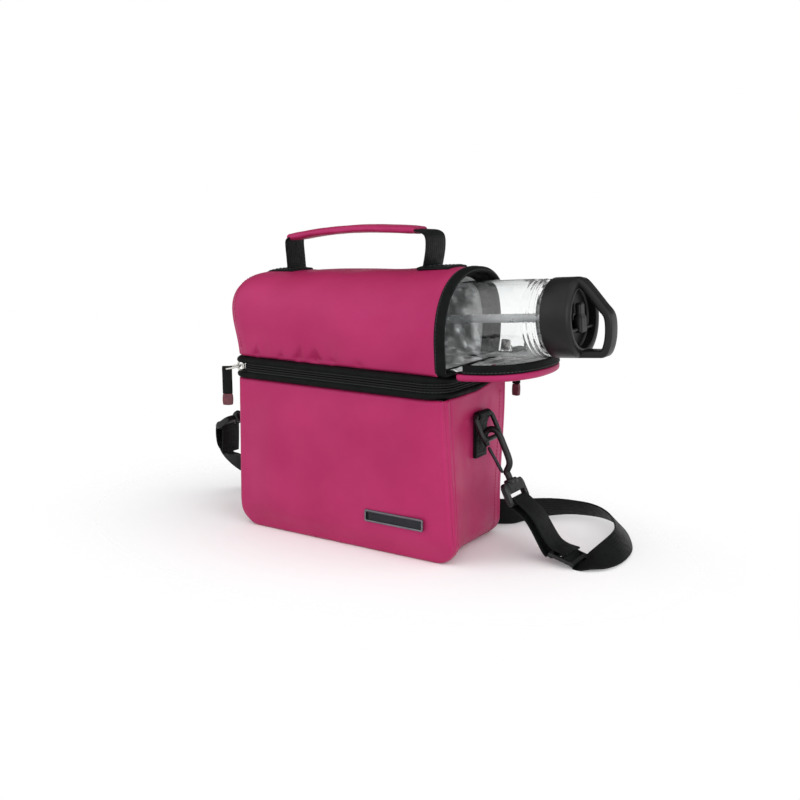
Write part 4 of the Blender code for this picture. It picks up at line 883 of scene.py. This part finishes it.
def makeBackHinge(shape):
    # fabric strip across the back fold: x by z, bowed out a little and creased along the fold
    x, z = np.meshgrid(np.linspace(-shape["half"], shape["half"], 90), np.linspace(shape["low"], shape["high"], 31),
                       indexing="ij")
    up = z - shape["fold"]
    bow = 0.5 * np.cos(up / 11 * np.pi / 2) - 0.6 * dent(up, 1.3)
    y = shape["face"] + bow + 0.15 * softNoise(np.stack([x, z], -1), 22, 61)
    strip = surface("hingeFabric", np.stack([x, y, z], -1), magenta, inside=(0, 0, shape["fold"]))
    thicken(strip, 1.2)
    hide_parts("back_hinge_lower", "back_hinge_upper")
    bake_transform(strip)


makeZip()
makeBackHinge(backHinge)
print("main zip done")

dome = dict(foot=163.0, ridge=250.0, half=58.0, spring=29.0, tuck=2.5, power=2.3, left=-112.0, right=104.0,
            endRun=14.0, endDrop=5.0, fall=12.0, square=0.8, bulge=6.5, inside=(0, 0, 190))
# folds at the foot of the front: (place, width, height, lean, depth)
domePuckers = [(-90, 5, 14, 0.3, 3.6), (-62, 4.5, 9, 0.3, 2.4), (-43, 5.5, 16, 0.4, 4), (-24, 8, 14.5, 0.1, 4.6),
               (-4, 5, 7.5, -0.2, 2), (26, 6, 9, -0.3, 2)]
endPad = dict(turns=9, rings=24, inset=0.075, edge=4.2, crown=2.2, full=0.92)


def ridgeFall(x):
    # the ridge sinks evenly from the open end to the closed end
    return dome["fall"] * (dome["right"] - x) / (dome["right"] - dome["left"])


def oval(start, end, count, power):
    # superellipse |x|^n + |y|^n = 1 of unit size, between two angles
    a = np.linspace(start, end, count)
    way = np.stack([np.cos(a), np.sin(a)], -1)
    return np.sign(way) * np.abs(way) ** (2 / np.broadcast_to(power, 2))


def archLine(inset, foot, shrink=0.0, fall=0.0, count=121):
    # dome section (y, z): upright foot, then half a superellipse over the ridge, squarer towards the closed
    # end, where the ridge has fallen
    s = dome
    power = s["power"] + s["square"] * ramp(fall / s["fall"], 0.3, 1)
    half = s["half"] - inset - shrink
    base = s["foot"] + s["spring"]
    over = (0, base) + oval(np.pi, 0, 161, power) * (half, s["ridge"] - base - inset - shrink - fall)
    line = np.concatenate([[(-half + s["tuck"], foot)], over, [(half - s["tuck"], foot)]])
    return evenly(relax(evenly(line, 301), 12, closed=False), count)


def bulged(grid):
    # the closed end leans out to the left, most of all two thirds of the way up
    x, y, z = np.moveaxis(grid, -1, 0)
    s = dome
    out = ramp(-x, 70, -s["left"]) * ramp(z, s["foot"], s["foot"] + 52) * (1 - 0.4 * ramp(z, 225, 242))
    return np.stack([x - s["bulge"] * out, y, z], -1)


def domeRows(count):
    # (x, shrink) along the dome: a quarter ellipse at the closed end, then straight
    s = dome
    bend = (s["left"], 0) + (1 - arc(90, 0, 25)[:, ::-1]) * (s["endRun"], s["endDrop"])
    run = np.linspace(bend[-1, 0], s["right"], count)[1:]
    return np.concatenate([bend, np.stack([run, 0 * run], -1)])


def archGrid(rows, inset, foot):
    sections = np.stack([archLine(inset, foot, shrink, ridgeFall(x)) for x, shrink in rows])
    return inSpace(sections, rows[:, :1], 0)


def domeRelief(grid):
    # height over the plain dome: puckers at the foot, slack that dies out at the edges, and the seam's groove
    s = dome
    x, y, z = np.moveaxis(grid, -1, 0)
    up = z - s["foot"]
    fold = np.clip(softNoise(np.stack([x, 40 * np.sign(y)], -1), 26, 71), 0, None)
    pucker = -0.8 * fold * dent(up - 7, 9) * ramp(70 - x, 0, 60)
    for place, wide, tall, lean, deep in domePuckers:
        taper = np.clip(1 - up / tall, 0, 1)
        across = wide * np.maximum(taper, 0.15) ** 0.8
        pucker = pucker - deep * taper ** 0.8 * dent(x - place - lean * up, across) * (y < 0)
    slack = 0.55 * softNoise(grid, 60, 72) + 0.3 * softNoise(grid, 28, 73) * ramp(70 - up, 0, 40)
    ends = ramp(x, s["left"], s["left"] + 12) * ramp(s["right"] - x, 0, 10) * ramp(up, -1, 3)
    return (pucker + slack) * ends - 0.9 * np.exp(-(x - s["left"]) / 1.2)


def makeDome():
    s = dome
    foot = s["foot"] + 0.3
    grid = archGrid(domeRows(140), 0.0, foot)
    grid = relief(grid, domeRelief(grid), s["inside"])
    skin = surface("domeSkin", bulged(grid), magenta, inside=s["inside"], crease=60)
    fit(thicken(skin, 2.5), "upper", "magenta_fabric", "dome_panel", pad=0.7)
    # closed end: rings of the same section drawn in towards the middle
    ring = shut(archLine(0.0, foot, s["endDrop"], s["fall"]), 40, 160)
    scale, depth = pillow(**endPad)
    grid = inSpace(shrunk(ring, np.array([0, 200.0]), scale), s["left"] - depth[:, None], 0)
    grid[..., 0] -= 0.4 * softNoise(grid, 45, 74) * ramp(depth, 3.5, 4.5)[:, None]
    end = surface("domeEnd", bulged(grid), magenta, closedV=True, capEnd=True, inside=(0, 0, 200), crease=60)
    fit(thicken(end, 2), "upper", "magenta_fabric", "dome_left_end", pad=0.7)
    sewnIn = 4
    seamShrink = s["endDrop"] * (1 - np.sqrt(1 - (1 - sewnIn / s["endRun"]) ** 2))
    rows = archGrid(np.array([[s["left"] + sewnIn, seamShrink]]), -0.15, s["foot"] + 2)[0]
    out = unit(rows - (s["left"] + 30, 0, 200))
    fit(stitches("domeStitches", bulged(rows)[3:-3], out[3:-3], pinkThread), "upper", "magenta_fabric")


tunnel = dict(inset=7.4, back=-108, backShrink=3.5, bottle=32.3, gap=32.2, flange=8.3, flare=2.9, lip=1.8,
              wall=0.6, flangeWall=0.5, low=175, high=225, deepLow=0.15, deepHigh=2.2, deep=8.0,
              folds=[(4.6, 34, 81), (2.4, 15, 82)], inside=(0, 0, 195))


def mouthFlare(x, z):
    # the lining opens out towards the zip, above its floor
    return tunnel["flare"] * ramp(x, dome["right"] - 16, dome["right"] - 1) * ramp(z, 168, 180)


def makeUpperLining(shape):
    # foil tunnel: arch and floor in one closed section, creased inwards as far as the bottle lets it, shut by
    # a fan at the left
    right, inside = dome["right"], shape["inside"]
    rows = np.concatenate([[(shape["back"], shape["backShrink"])], domeRows(110)[8:-1]])
    rows[1:, 0] = np.maximum(rows[1:, 0], shape["back"] + 1)
    arch = archGrid(rows, shape["inset"], dome["foot"] + 0.9)
    across = np.linspace(0, 1, 50)[1:-1][None, :, None]
    grid = np.concatenate([arch, arch[:, -1:] + (arch[:, :1] - arch[:, -1:]) * across], 1)
    x, y, z = np.moveaxis(grid, -1, 0)
    room = shape["gap"] - np.sqrt(np.clip(shape["bottle"] ** 2 - y ** 2, 0, None))
    most = np.where(z > shape["high"], shape["deepHigh"], np.where(z < shape["low"], room, shape["deep"]))
    most = np.clip(most, shape["deepLow"], shape["deep"])
    loose = 1 - ramp(x, right - 24, right - 12)
    depth = creases(grid, 3.6, 0.05, most, shape["folds"]) * loose
    grid = relief(grid, mouthFlare(x, z) - depth, inside)
    piece = surface("liningTunnel", grid, foil, closedV=True, capStart=True, inside=inside, crease=35)
    fit(thicken(piece, shape["wall"]), "upper", "foil", "upper_lining")
    # inner edge of the opening's tape, sewn flat over the mouth of the foil
    rows = np.linspace((right - 10.5, 0), (right + 1.5, 0), 20)
    grid = archGrid(rows, shape["flange"], dome["foot"] + 2.5)
    x, y, z = np.moveaxis(grid, -1, 0)
    grid = relief(grid, mouthFlare(x, z) + shape["lip"] * ramp(x, right - 2.5, right + 1), inside)
    flange = surface("openingFlange", grid, tape, inside=inside, crease=60)
    fit(thicken(flange, shape["flangeWall"]), "upper", "zip_tape")


opening = dict(middle=106.4, profile=(4.9, 2.5, 2.2, 6), coil=111.15, sewn=2.6, arch=222, around=320)


def makeOpening(shape):
    # zip tape round the open end: a rounded band carried along the closed dome section, with a coil on its face
    line = relax(shut(archLine(1.5, dome["foot"] + 2.0, count=220), 70, shape["around"]), 10)
    path = inSpace(line, shape["middle"], 0)
    grid = sweep(path, toRight, roundBox(*shape["profile"]), closed=True)
    band = surface("openingTape", grid, tape, closedU=True, closedV=True, crease=60)
    fit(band, "upper", "zip_tape", "opening_zip_tape")
    front = slice(shape["arch"])
    fit(coilRow("openingCoil", inSpace(line, shape["coil"], 0)[front], toRight), "upper", "zip_tape")
    out = np.cross(unit(np.roll(path, -1, 0) - np.roll(path, 1, 0)), toRight)
    out = out * np.sign((out * (path - (106, 0, 200))).sum())
    edge = path + out * 2.45 - shape["sewn"] * toRight
    fit(stitches("openingStitches", edge[front], out[front], blackThread, 0.3), "upper", "zip_tape")


lidSheet = dict(plan=(99, 47, 14, 8), level=152.6, rim=152.95, around=200, wall=0.3,
                folds=[(1.7, 35, 91), (0.8, 14, 92)])


def makeLidLining(shape):
    # creased foil under the divider: scaled rings of a rounded plan
    plan = evenly(roundBox(*shape["plan"]), shape["around"], closed=True)
    scale = np.concatenate([[1.0], np.linspace(0.995, 0.02, 45)])
    grid = inSpace(shrunk(plan, 0, scale), shape["level"], 2)
    grid[1:, :, 2] -= creases(grid, 1.4, 0, 3.4, shape["folds"])[1:]
    grid[0, :, 2] = shape["rim"]
    sheet = surface("lidFoil", grid, foil, closedV=True, capEnd=True, inside=(0, 0, 175), crease=35)
    fit(thicken(sheet, shape["wall"]), "upper", "foil", "lid_lining")


makeDome()
makeUpperLining(tunnel)
makeOpening(opening)
makeLidLining(lidSheet)
print("dome done")

# end flap, drawn in its hinge frame: x along the flap, z towards its foil side. Its hinge fabric has foil over
# the middle and tape along both ends, flapStrips: (name, low y, high y, height, slot)
flap = dict(hinge=(111.8, 0, 166.5), rise=3.32, half=55.0, length=68.0, spring=25.5, start=9.0, lap=16.3,
            tapeLevel=3.9, coilLevel=6.4, sewnLevel=1.6, foilWall=0.3, stripWall=0.4, strip=(-0.5, 19), fold=5,
            foilFolds=[(1.1, 34, 103), (0.5, 14, 104)], stripFolds=[(0.6, 14, 106)])
flapPad = dict(turns=10, rings=26, inset=0.085, edge=3.2, crown=2.0, full=0.915)
flapStrips = [("Fabric", -46.5, 46.5, 0.0, "magenta_fabric"), ("Foil", -46, 46, 0.5, "foil"),
              ("TapeFront", -54, -45, 0.6, "zip_tape"), ("TapeBack", 45, 54, 0.6, "zip_tape")]


def flapAt(points):
    # hinge frame to the bag's frame: a turn about Y, then a move
    return turned(points, -flap["rise"], 1) + flap["hinge"]


def flapLine(inset, base, count=120):
    # D-shaped plan (x, y): straight sides from the base, then half a superellipse
    s = flap
    half, reach = s["half"] - inset, s["length"] - s["spring"] - inset
    over = (s["spring"], 0) + oval(-np.pi / 2, np.pi / 2, 121, dome["power"]) * (reach, half)
    line = np.concatenate([[(base, -half)], over, [(base, half)]])
    return evenly(relax(evenly(line, 241), 8, closed=False), count)


def flapRing(inset, base):
    return relax(shut(flapLine(inset, base), 40, 200), 3)


def makeFlap():
    s = flap
    # padded cloth: flat on its foil side, then round the edge and over the crown below
    ring = flapRing(0.0, s["start"])
    middle = ring.mean(0)
    scale, depth = pillow(**flapPad)
    scale = np.concatenate([np.linspace(0.03, 0.985, 8), [1.0], scale])
    level = np.concatenate([np.full(8, -0.3), [-1.0], -3.0 - depth])
    grid = inSpace(shrunk(ring, middle, scale), level[:, None], 2)
    grid[9:, :, 2] -= 0.35 * softNoise(grid[9:], 34, 101) * ramp(np.arange(len(scale) - 9), 3, 14)[:, None]
    fit(solid("flapPad", flapAt(grid), magenta, crease=60), "end_flap", "magenta_fabric", "flap_panel", pad=0.7)
    # zip tape standing round the edge
    path, row, edge = (inSpace(flapLine(inset, s["lap"], 200), s[key], 2)
                       for inset, key in ((1.3, "tapeLevel"), (3.1, "coilLevel"), (-0.25, "sewnLevel")))
    rim = solid("flapTape", flapAt(sweep(path, toTop, roundBox(4.0, 1.5, 1.3, 5))), tape, crease=60)
    fit(rim, "end_flap", "zip_tape", "flap_zip_tape")
    fit(coilRow("flapCoil", flapAt(row), toTop), "end_flap", "zip_tape")
    out = inSpace(unit(edge[:, :2] - middle), 0, 2)
    fit(stitches("flapStitches", flapAt(edge), out, blackThread, 0.3), "end_flap", "zip_tape")
    # creased foil inside the tape
    ring = flapRing(2.9, s["lap"] + 0.3)
    scale = np.concatenate([[1.0], np.linspace(0.99, 0.02, 44)])
    grid = inSpace(shrunk(ring, ring.mean(0), scale), 0, 2)
    grid[1:, :, 2] += creases(grid, 1.2, 0.4, 3.2, s["foilFolds"])[1:]
    sheet = surface("flapFoil", flapAt(grid), foil, closedV=True, capEnd=True, inside=(150, 0, 150), crease=35)
    fit(thicken(sheet, s["foilWall"]), "end_flap", "foil", "flap_lining")


def makeFlapHinge():
    # from the sill to the pad: flat strips with a shallow fold across the joint
    finishes = dict(magenta_fabric=magenta, foil=foil, zip_tape=tape)
    for name, low, high, up, slot in flapStrips:
        x, y = np.meshgrid(np.linspace(*flap["strip"], 40), np.linspace(low, high, 50), indexing="ij")
        flat = np.stack([x, y], -1)
        z = 0.9 - 1.2 * dent(x - flap["fold"], 2.4) + 0.2 * softNoise(flat, 16, 105) + up
        if slot == "foil":
            z = z + creases(inSpace(flat, 0, 2), 0.5, 0, 1.2, flap["stripFolds"])
        strip = surface("flapHinge" + name, flapAt(inSpace(flat, z, 2)), finishes[slot], inside=(120, 0, 100))
        thicken(strip, flap["stripWall"])
        if slot == "magenta_fabric":
            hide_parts("flap_hinge_strip")
        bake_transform(strip)


makeFlap()
makeFlapHinge()
print("flap done")

handle = dict(left=-84.0, right=66.0, rise=30.0, width=32.0, leftWidth=27.0, grip=22.0, web=2.2, ridge=250.0,
              sleeveHalf=12.6, sleeveThick=3.7, sleeveShort=12, sleeveOver=6.5, rows=130, around=48, sewn=9.5)


def handleLine():
    # side view (x, z) of the webbing: up the left leg, along the grip, down the right leg
    s = handle
    left, right, rise, foot = s["left"], s["right"], s["rise"], s["web"]
    points = [(left, foot - ridgeFall(left)), (left - 1, 0.1 * rise), (left - 2, 0.45 * rise),
              (left - 1.4, 0.6 * rise), (left + 2.5, 0.7 * rise), (left + 12, 0.755 * rise),
              (left + 36, 0.88 * rise), ((left + right) / 2, rise), (right - 34, 1.02 * rise), (right - 10, rise),
              (right - 1.5, 0.95 * rise), (right + 2.2, 0.8 * rise), (right + 2.4, 0.45 * rise),
              (right, foot - ridgeFall(right))]
    return inSpace(evenly(curve(points, 12), 170) + (0, s["ridge"]), 0, 1)


def ridgeDrop(y):
    # how far the dome falls away beside its ridge
    b = dome["ridge"] - dome["foot"] - dome["spring"]
    return b * (1 - (1 - (np.abs(y) / dome["half"]) ** dome["power"]) ** (1 / dome["power"]))


def makeHandle():
    s = handle
    path = handleLine()
    x, up = path[:, 0], (path[:, 2] - s["ridge"]) / s["rise"]
    # webbing: wide legs, narrower where it runs inside the sleeve
    legs = s["leftWidth"] + (s["width"] - s["leftWidth"]) * ramp(x, s["left"], s["right"])
    inside = ramp(x, s["left"] - 1, s["left"] + 3) * ramp(s["right"] - x, 6, 11)
    width = legs + (s["grip"] - legs) * inside * ramp(up, 0.5, 0.7)
    profile = swelled(roundBox(0.5, s["web"] / 2, 0.45, 4), width)
    strap = solid("handleStrap", sweep(path, toBack, profile), webbing)
    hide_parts("handle_webbing")
    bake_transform(strap)
    # padded sleeve: an oval section along the grip, gathered at its ends
    grip = path[(up > 0.71) & (x < s["right"] - s["sleeveShort"])]
    grip = np.concatenate([grip[:1] - unit(grip[6] - grip[0]) * s["sleeveOver"], grip])
    grip = evenly(grip, s["rows"])
    turn = 2 * np.pi * (1 - 1 / s["around"])
    ring = oval(0, turn, s["around"], (8 / 3, 2.5)) * (s["sleeveHalf"], s["sleeveThick"])
    share = np.linspace(0, 1, s["rows"])
    end = np.minimum(share, 1 - share)[:, None] * s["rows"]
    wave = softNoise(np.stack(np.broadcast_arrays(grip[:, :1], ring[:, 0] * 1.5, ring[:, 1] * 6), -1), 24, 111)
    full = (0.9 + 0.1 * ramp(end, 0, 9)) * (1 + 0.02 * wave * ramp(end, 2, 14))
    sleeve = solid("handleSleeve", sweep(grip, toBack, ring * full[..., None]), magenta, crease=60)
    fit(sleeve, "handle", "magenta_fabric", "handle_sleeve", pad=0.55)
    above = np.cross(unit(np.gradient(grip, axis=0)), toBack)
    above = above * np.sign(above[:, 2:].mean())
    for name, side in (("front", -1), ("back", 1)):
        line = grip + toBack * side * s["sewn"] + above * 3.0
        sewn = stitches("sleeveStitches_" + name, line[8:-8], above[8:-8], pinkThread, 0.3)
        fit(sewn, "handle", "magenta_fabric")


# runs of the handle's feet along the ridge, and the crossed box sewn on each as (share of run, y)
feet = dict(left=(-77, -97), right=(59, 91), thick=1.0, lift=1.3, bend=62)
footSewn = [(0.1, -12), (0.92, -12), (0.92, 12), (0.1, 12), (0.1, -12), (0.92, 12), (0.92, -12), (0.1, 12)]


def makeFeet(shape):
    # webbing ends along the ridge: the flat profile follows the fall of the dome, the left one its rounded end
    s = handle
    bend = (dome["left"], 0) + (1 - arc(0, shape["bend"], 20)[:, ::-1]) * (dome["endRun"], -dome["endDrop"])
    left = np.concatenate([np.linspace((shape["left"][0], 0), (shape["left"][1], 0), 16), bend])
    right = np.linspace((shape["right"][0], 0), (shape["right"][1], 0), 24)
    edge = roundBox(s["width"] / 2, shape["thick"], 0.9, 4)
    flat = np.concatenate([np.linspace(edge[k], edge[(k + 1) % 16], count)
                           for k, count in ((3, 12), (7, 2), (11, 12), (15, 2))])
    for name, line in (("left", left), ("right", right)):
        line = evenly(line, 40)
        level = s["ridge"] + shape["lift"] + line[:, 1] - ridgeFall(line[:, 0])
        path = np.stack([line[:, 0], 0 * level, level], -1)
        grid = sweep(path, toBack, flat)
        grid[..., 2] -= ridgeDrop(grid[..., 1])
        fit(solid("handleFoot_" + name, grid, webbing, crease=60), "upper", "webbing", "handle_foot_" + name)
        share, across = (evenly(np.array(footSewn) * (32, 1), 160) / (32, 1)).T
        row = pick(path, np.linspace(0, 1, 40), share)
        row = row + np.stack([0 * share, across, 1.15 - ridgeDrop(across)], -1)
        fit(stitches("footStitches_" + name, row, toTop, blackThread), "upper", "webbing")


makeHandle()
makeFeet(feet)
print("handle done")

# name plate, left bare: rings (inset, out) stepped from the panel to a raised frame, then down to its field
plate = dict(middle=(65.0, 35.0), half=(30.0, 5.5), face=-61.45, corner=1.8, field=1.0, fieldInset=1.8)
plateSteps = [(0, 0), (0, 0.9), (0.12, 1.25), (0.4, 1.5), (1.3, 1.5), (1.6, 1.35), (1.75, 0.95)]


def makePlate(s):
    def ring(inset):
        return roundBox(s["half"][0] - inset, s["half"][1] - inset, max(s["corner"] - inset, 0.35), 6)

    grid = np.stack([inSpace(ring(inset) + s["middle"], s["face"] - out, 1) for inset, out in plateSteps])
    fit(solid("plateFrame", grid, gunmetal, crease=40), "lower", "gunmetal", "name_plate")
    inner = shrunk(ring(s["fieldInset"]), 0, np.linspace(1, 0.05, 6)) + s["middle"]
    field = surface("plateField", inSpace(inner, s["face"] - s["field"], 1), gunmetalField, closedV=True,
                    capEnd=True, inside=(65, 0, 35))
    fit(thicken(field, 0.4), "lower", "gunmetal")


makePlate(plate)
print("plate done")

# zip sliders and pullers, drawn in a frame whose x points out of the tape. The main puller stands out over the
# corner, the flap's hangs flat.
sliders = dict(main=dict(place=(-90, -38, 153), turn=213, face=21.5, stands=True, half=4.5, tall=3.3),
               flap=dict(place=(117.25, 58.095, 175), turn=90, face=0.0, stands=False, half=3.4, tall=6.4))
# plate rings as (out, scale), and one side of the folded puller tab as (across, up)
sliderSteps = [(0, 0.94), (0.25, 1.0), (1.4, 1.0), (1.9, 0.93), (2.15, 0.8), (2.2, 0.5), (2.2, 0.1)]
pullerSide = np.array([(-1.15, -23.9), (-1.15, -12), (-1.2, -4)])
# bail as (out, up), wire link as half width, half height, corner and steps, and the moulded tip
bail = [(1.1, 4.7), (4.9, 4.2), (6.6, 0), (4.9, -4.2), (1.1, -4.7)]
puller = dict(lift=0.3, bar=3.9, link=(6, 5, 2, 7), bailWire=1.0, linkWire=0.8, fold=1.15, tipHalf=2.16,
              tipTop=-24.0, tipLength=11.2, grooves=[[0.35], [0.5], [0.65]])


def sliderAt(slider, points):
    return turned(points, slider["turn"], 2) + slider["place"]


def makeSlider(name, slider):
    p, low, stands = puller, slider["face"] + puller["lift"], slider["stands"]
    ex, ey = turned([toRight, toBack], slider["turn"], 2)
    body, swung = name + "_zip_slider", name + "_puller"
    # plate: pillow of waisted rings, with a bail over it
    box = roundBox(5.3, slider["tall"], 1.8, 7)
    box[:, 0] *= 1 - 0.16 * dent(box[:, 1], 2.6)
    grid = np.stack([inSpace(box * scale, low + out, 0) for out, scale in sliderSteps])
    piece = solid(name + "SliderPlate", sliderAt(slider, grid), nickel, crease=45)
    fit(piece, body, "nickel", name + "_slider")
    bow = inSpace(curve(bail, 8) + (low, 0), 0, 1)
    fit(tube(name + "SliderBail", sliderAt(slider, bow), p["bailWire"], nickel, ey), body, "nickel")
    # wire link
    bar = low + p["bar"]
    box = evenly(roundBox(*p["link"]), 60, closed=True)
    reach = p["link"][1] - box[:, 1]
    rise, drop = (1.3, 0.25) if stands else (0, 1)
    flat = np.stack([bar + rise * reach, box[:, 0], -drop * reach], -1)
    link = tube(name + "PullerLink", sliderAt(slider, flat), p["linkWire"], nickel, toTop if stands else ex,
                closed=True, sides=12)
    fit(link, swung, "nickel", name + "_puller_link")
    # webbing tab folded through the link
    hang = np.array([bar + 13, 0, -2.5] if stands else [bar, -0.6, -10.0])
    fold = p["fold"] * arc(180, 0, 13) * (1.35, 1.3)
    line = evenly(np.concatenate([pullerSide, fold, pullerSide[::-1] * (-1, 1)]), 70)
    path = sliderAt(slider, hang + inSpace(line, 0, 0 if stands else 1))
    grid = sweep(path, ex if stands else ey, roundBox(slider["half"], 0.6, 0.5, 4))
    fit(solid(name + "PullerTab", grid, webbing), swung, "webbing", name + "_puller_tab")
    # moulded tip with rounded ends and three grooves
    level = np.linspace(0, 1, 25)
    ends = np.sqrt(1 - np.clip(np.abs(level * 2 - 1) - 0.86, 0, 1) ** 2 / 0.022)
    swell = (0.9 + 0.1 * np.sin(np.pi * level)) * np.clip(ends, 0.35, 1)
    groove = 1 - 0.1 * dent(level - np.array(p["grooves"]), 0.035).sum(0)
    flat = swelled(roundBox(p["tipHalf"], 1.1 * slider["half"], 1.2, 6), swell * groove, swell)
    drop = (p["tipTop"] - p["tipLength"] * level)[:, None]
    grid = hang + inSpace(flat[..., ::-1] if stands else flat, drop, 2)
    fit(solid(name + "PullerTip", sliderAt(slider, grid), plum), swung, "puller_tip", name + "_puller_tip")


for name, slider in sliders.items():
    makeSlider(name, slider)
print("sliders done")

# bottle, drawn standing on its heel
bottle = dict(heel=(-3.0, 0, 197.4), tilt=4.5, radius=32.5, wall=1.8, body=168.0, neck=28.0, lidBase=188.0,
              lidTop=213.0, lidRadius=33.0, recess=25.0, recessFloor=204.5, ceiling=201.0, ringPitch=4.6,
              bore=28.4, hole=4.0, bevel=4.6, loop=(7.3, 3.2, 2.3, 6), loopReach=21.75, loopSunk=6.5)


def bottleAt(points):
    # the bottle's own axis laid along X with a small rise: its x points down, its z along the bag
    return turned(points, 90 - bottle["tilt"], 1) + bottle["heel"]


def makeBottle(s):
    # one turned wall: heel, side, ringed shoulder and neck on the outside, then down the inside
    r, n, top, rim = s["radius"], s["neck"], s["body"], s["ceiling"] - 2.2
    i, j = r - s["wall"], n - s["wall"]
    side = [(10, 2.4), (22, 0.6), (r - 6, 0), (r - 3.2, 0.5), (r - 1.4, 1.6), (r - 0.4, 3.4), (r, 6), (r, 20),
            (r, 60), (r, 100), (r, 140), (r, top - 4.5)]
    level = np.linspace(top - 4, top + 16.5, 83)
    ringed = ramp(level, top + 3, top + 7) * ramp(top + 16.5 - level, 0, 2)
    wave = (r - 0.65 * ramp(level, top + 2, top + 7)
            - 0.4 * np.cos(2 * np.pi * (level - top) / s["ringPitch"]) * ringed)
    shoulder = [(r - 2.2, top + 17.2), (n + 0.6, top + 17.6), (n, top + 18.4), (n, rim - 0.4), (n - 0.5, rim),
                (n - 1.4, rim), (j, rim - 0.5)]
    inside = [(j, top + 18), (j + 0.8, top + 14), (i - 1.2, top + 8), (i - 1.2, top - 2), (i, top - 8), (i, 100),
              (i, 50), (i, 6), (i - 1, 3.4), (i - 3, 2.4), (22, 2.2), (10, 4)]
    profile = np.concatenate([side, np.stack([wave, level], -1), shoulder, inside])
    piece = solid("bottleBody", bottleAt(lathe(profile, 128)), clearPlastic)
    fit(piece, "bottle", "clear_bottle", "bottle_body")


def makeLid(s):
    # one turned cap with a round shoulder, a recess for the spout and an open skirt
    r, low, top, bevel = s["lidRadius"], s["lidBase"], s["lidTop"], s["bevel"]
    recess, floor, hole, ceiling = s["recess"], s["recessFloor"], s["hole"], s["ceiling"] + 0.2
    skirt = [(s["bore"], low), (r - 0.9, low), (r - 0.25, low + 0.3), (r, low + 0.9), (r, low + 10)]
    shoulder = (r - bevel, top - bevel) + bevel * arc(0, 90, 9)
    inner = [(27, top), (25.9, top - 0.1), (recess, top - 0.8), (recess, floor + 1.2), (recess - 1.2, floor),
             (hole + 0.2, floor), (hole, floor - 0.3), (hole, ceiling), (s["bore"], ceiling)]
    grid = bottleAt(lathe(np.concatenate([skirt, shoulder, inner]), 128))
    cap = surface("bottleLid", grid, lidPlastic, closedU=True, closedV=True, crease=35)
    fit(cap, "lid", "lid_plastic", "bottle_lid")
    # carry loop: a rounded flat bar carried from one side of the lid, out over the spout and back
    side, far, sunk = r - 3.75, top + s["loopReach"], top - s["loopSunk"]
    points = [(1.5 - side, sunk), (1.5 - side, top), (-0.3 * side, far - 6), (0, far), (0.55 * side, far),
              (side - 1, far - 4), (side, far - 9), (side, top), (side, sunk)]
    count = 130
    flat = evenly(relax(evenly(curve(points, 12), 2 * count), 30, closed=False), count)
    run = np.linspace(0, 1, count)
    wide = 1 + 0.25 * dent(np.minimum(run, 1 - run), 0.1)
    profile = swelled(roundBox(*s["loop"]), wide)
    loop = solid("lidLoop", bottleAt(sweep(inSpace(flat, 0, 1), toBack, profile)), lidPlastic)
    fit(loop, "lid", "lid_plastic")


makeBottle(bottle)
makeLid(bottle)
print("bottle done")

# CAD nodes that keep their own shape
for name, material in (("base_board", board), ("divider_panel", board), ("strap_slider", acetal),
                       ("lid_seal", silicone), ("straw", strawPlastic), ("spout", lidPlastic),
                       ("spout_pin", lidPlastic)):
    cadNodes[name].data.materials.clear()
    cadNodes[name].data.materials.append(material)

print("finishing")
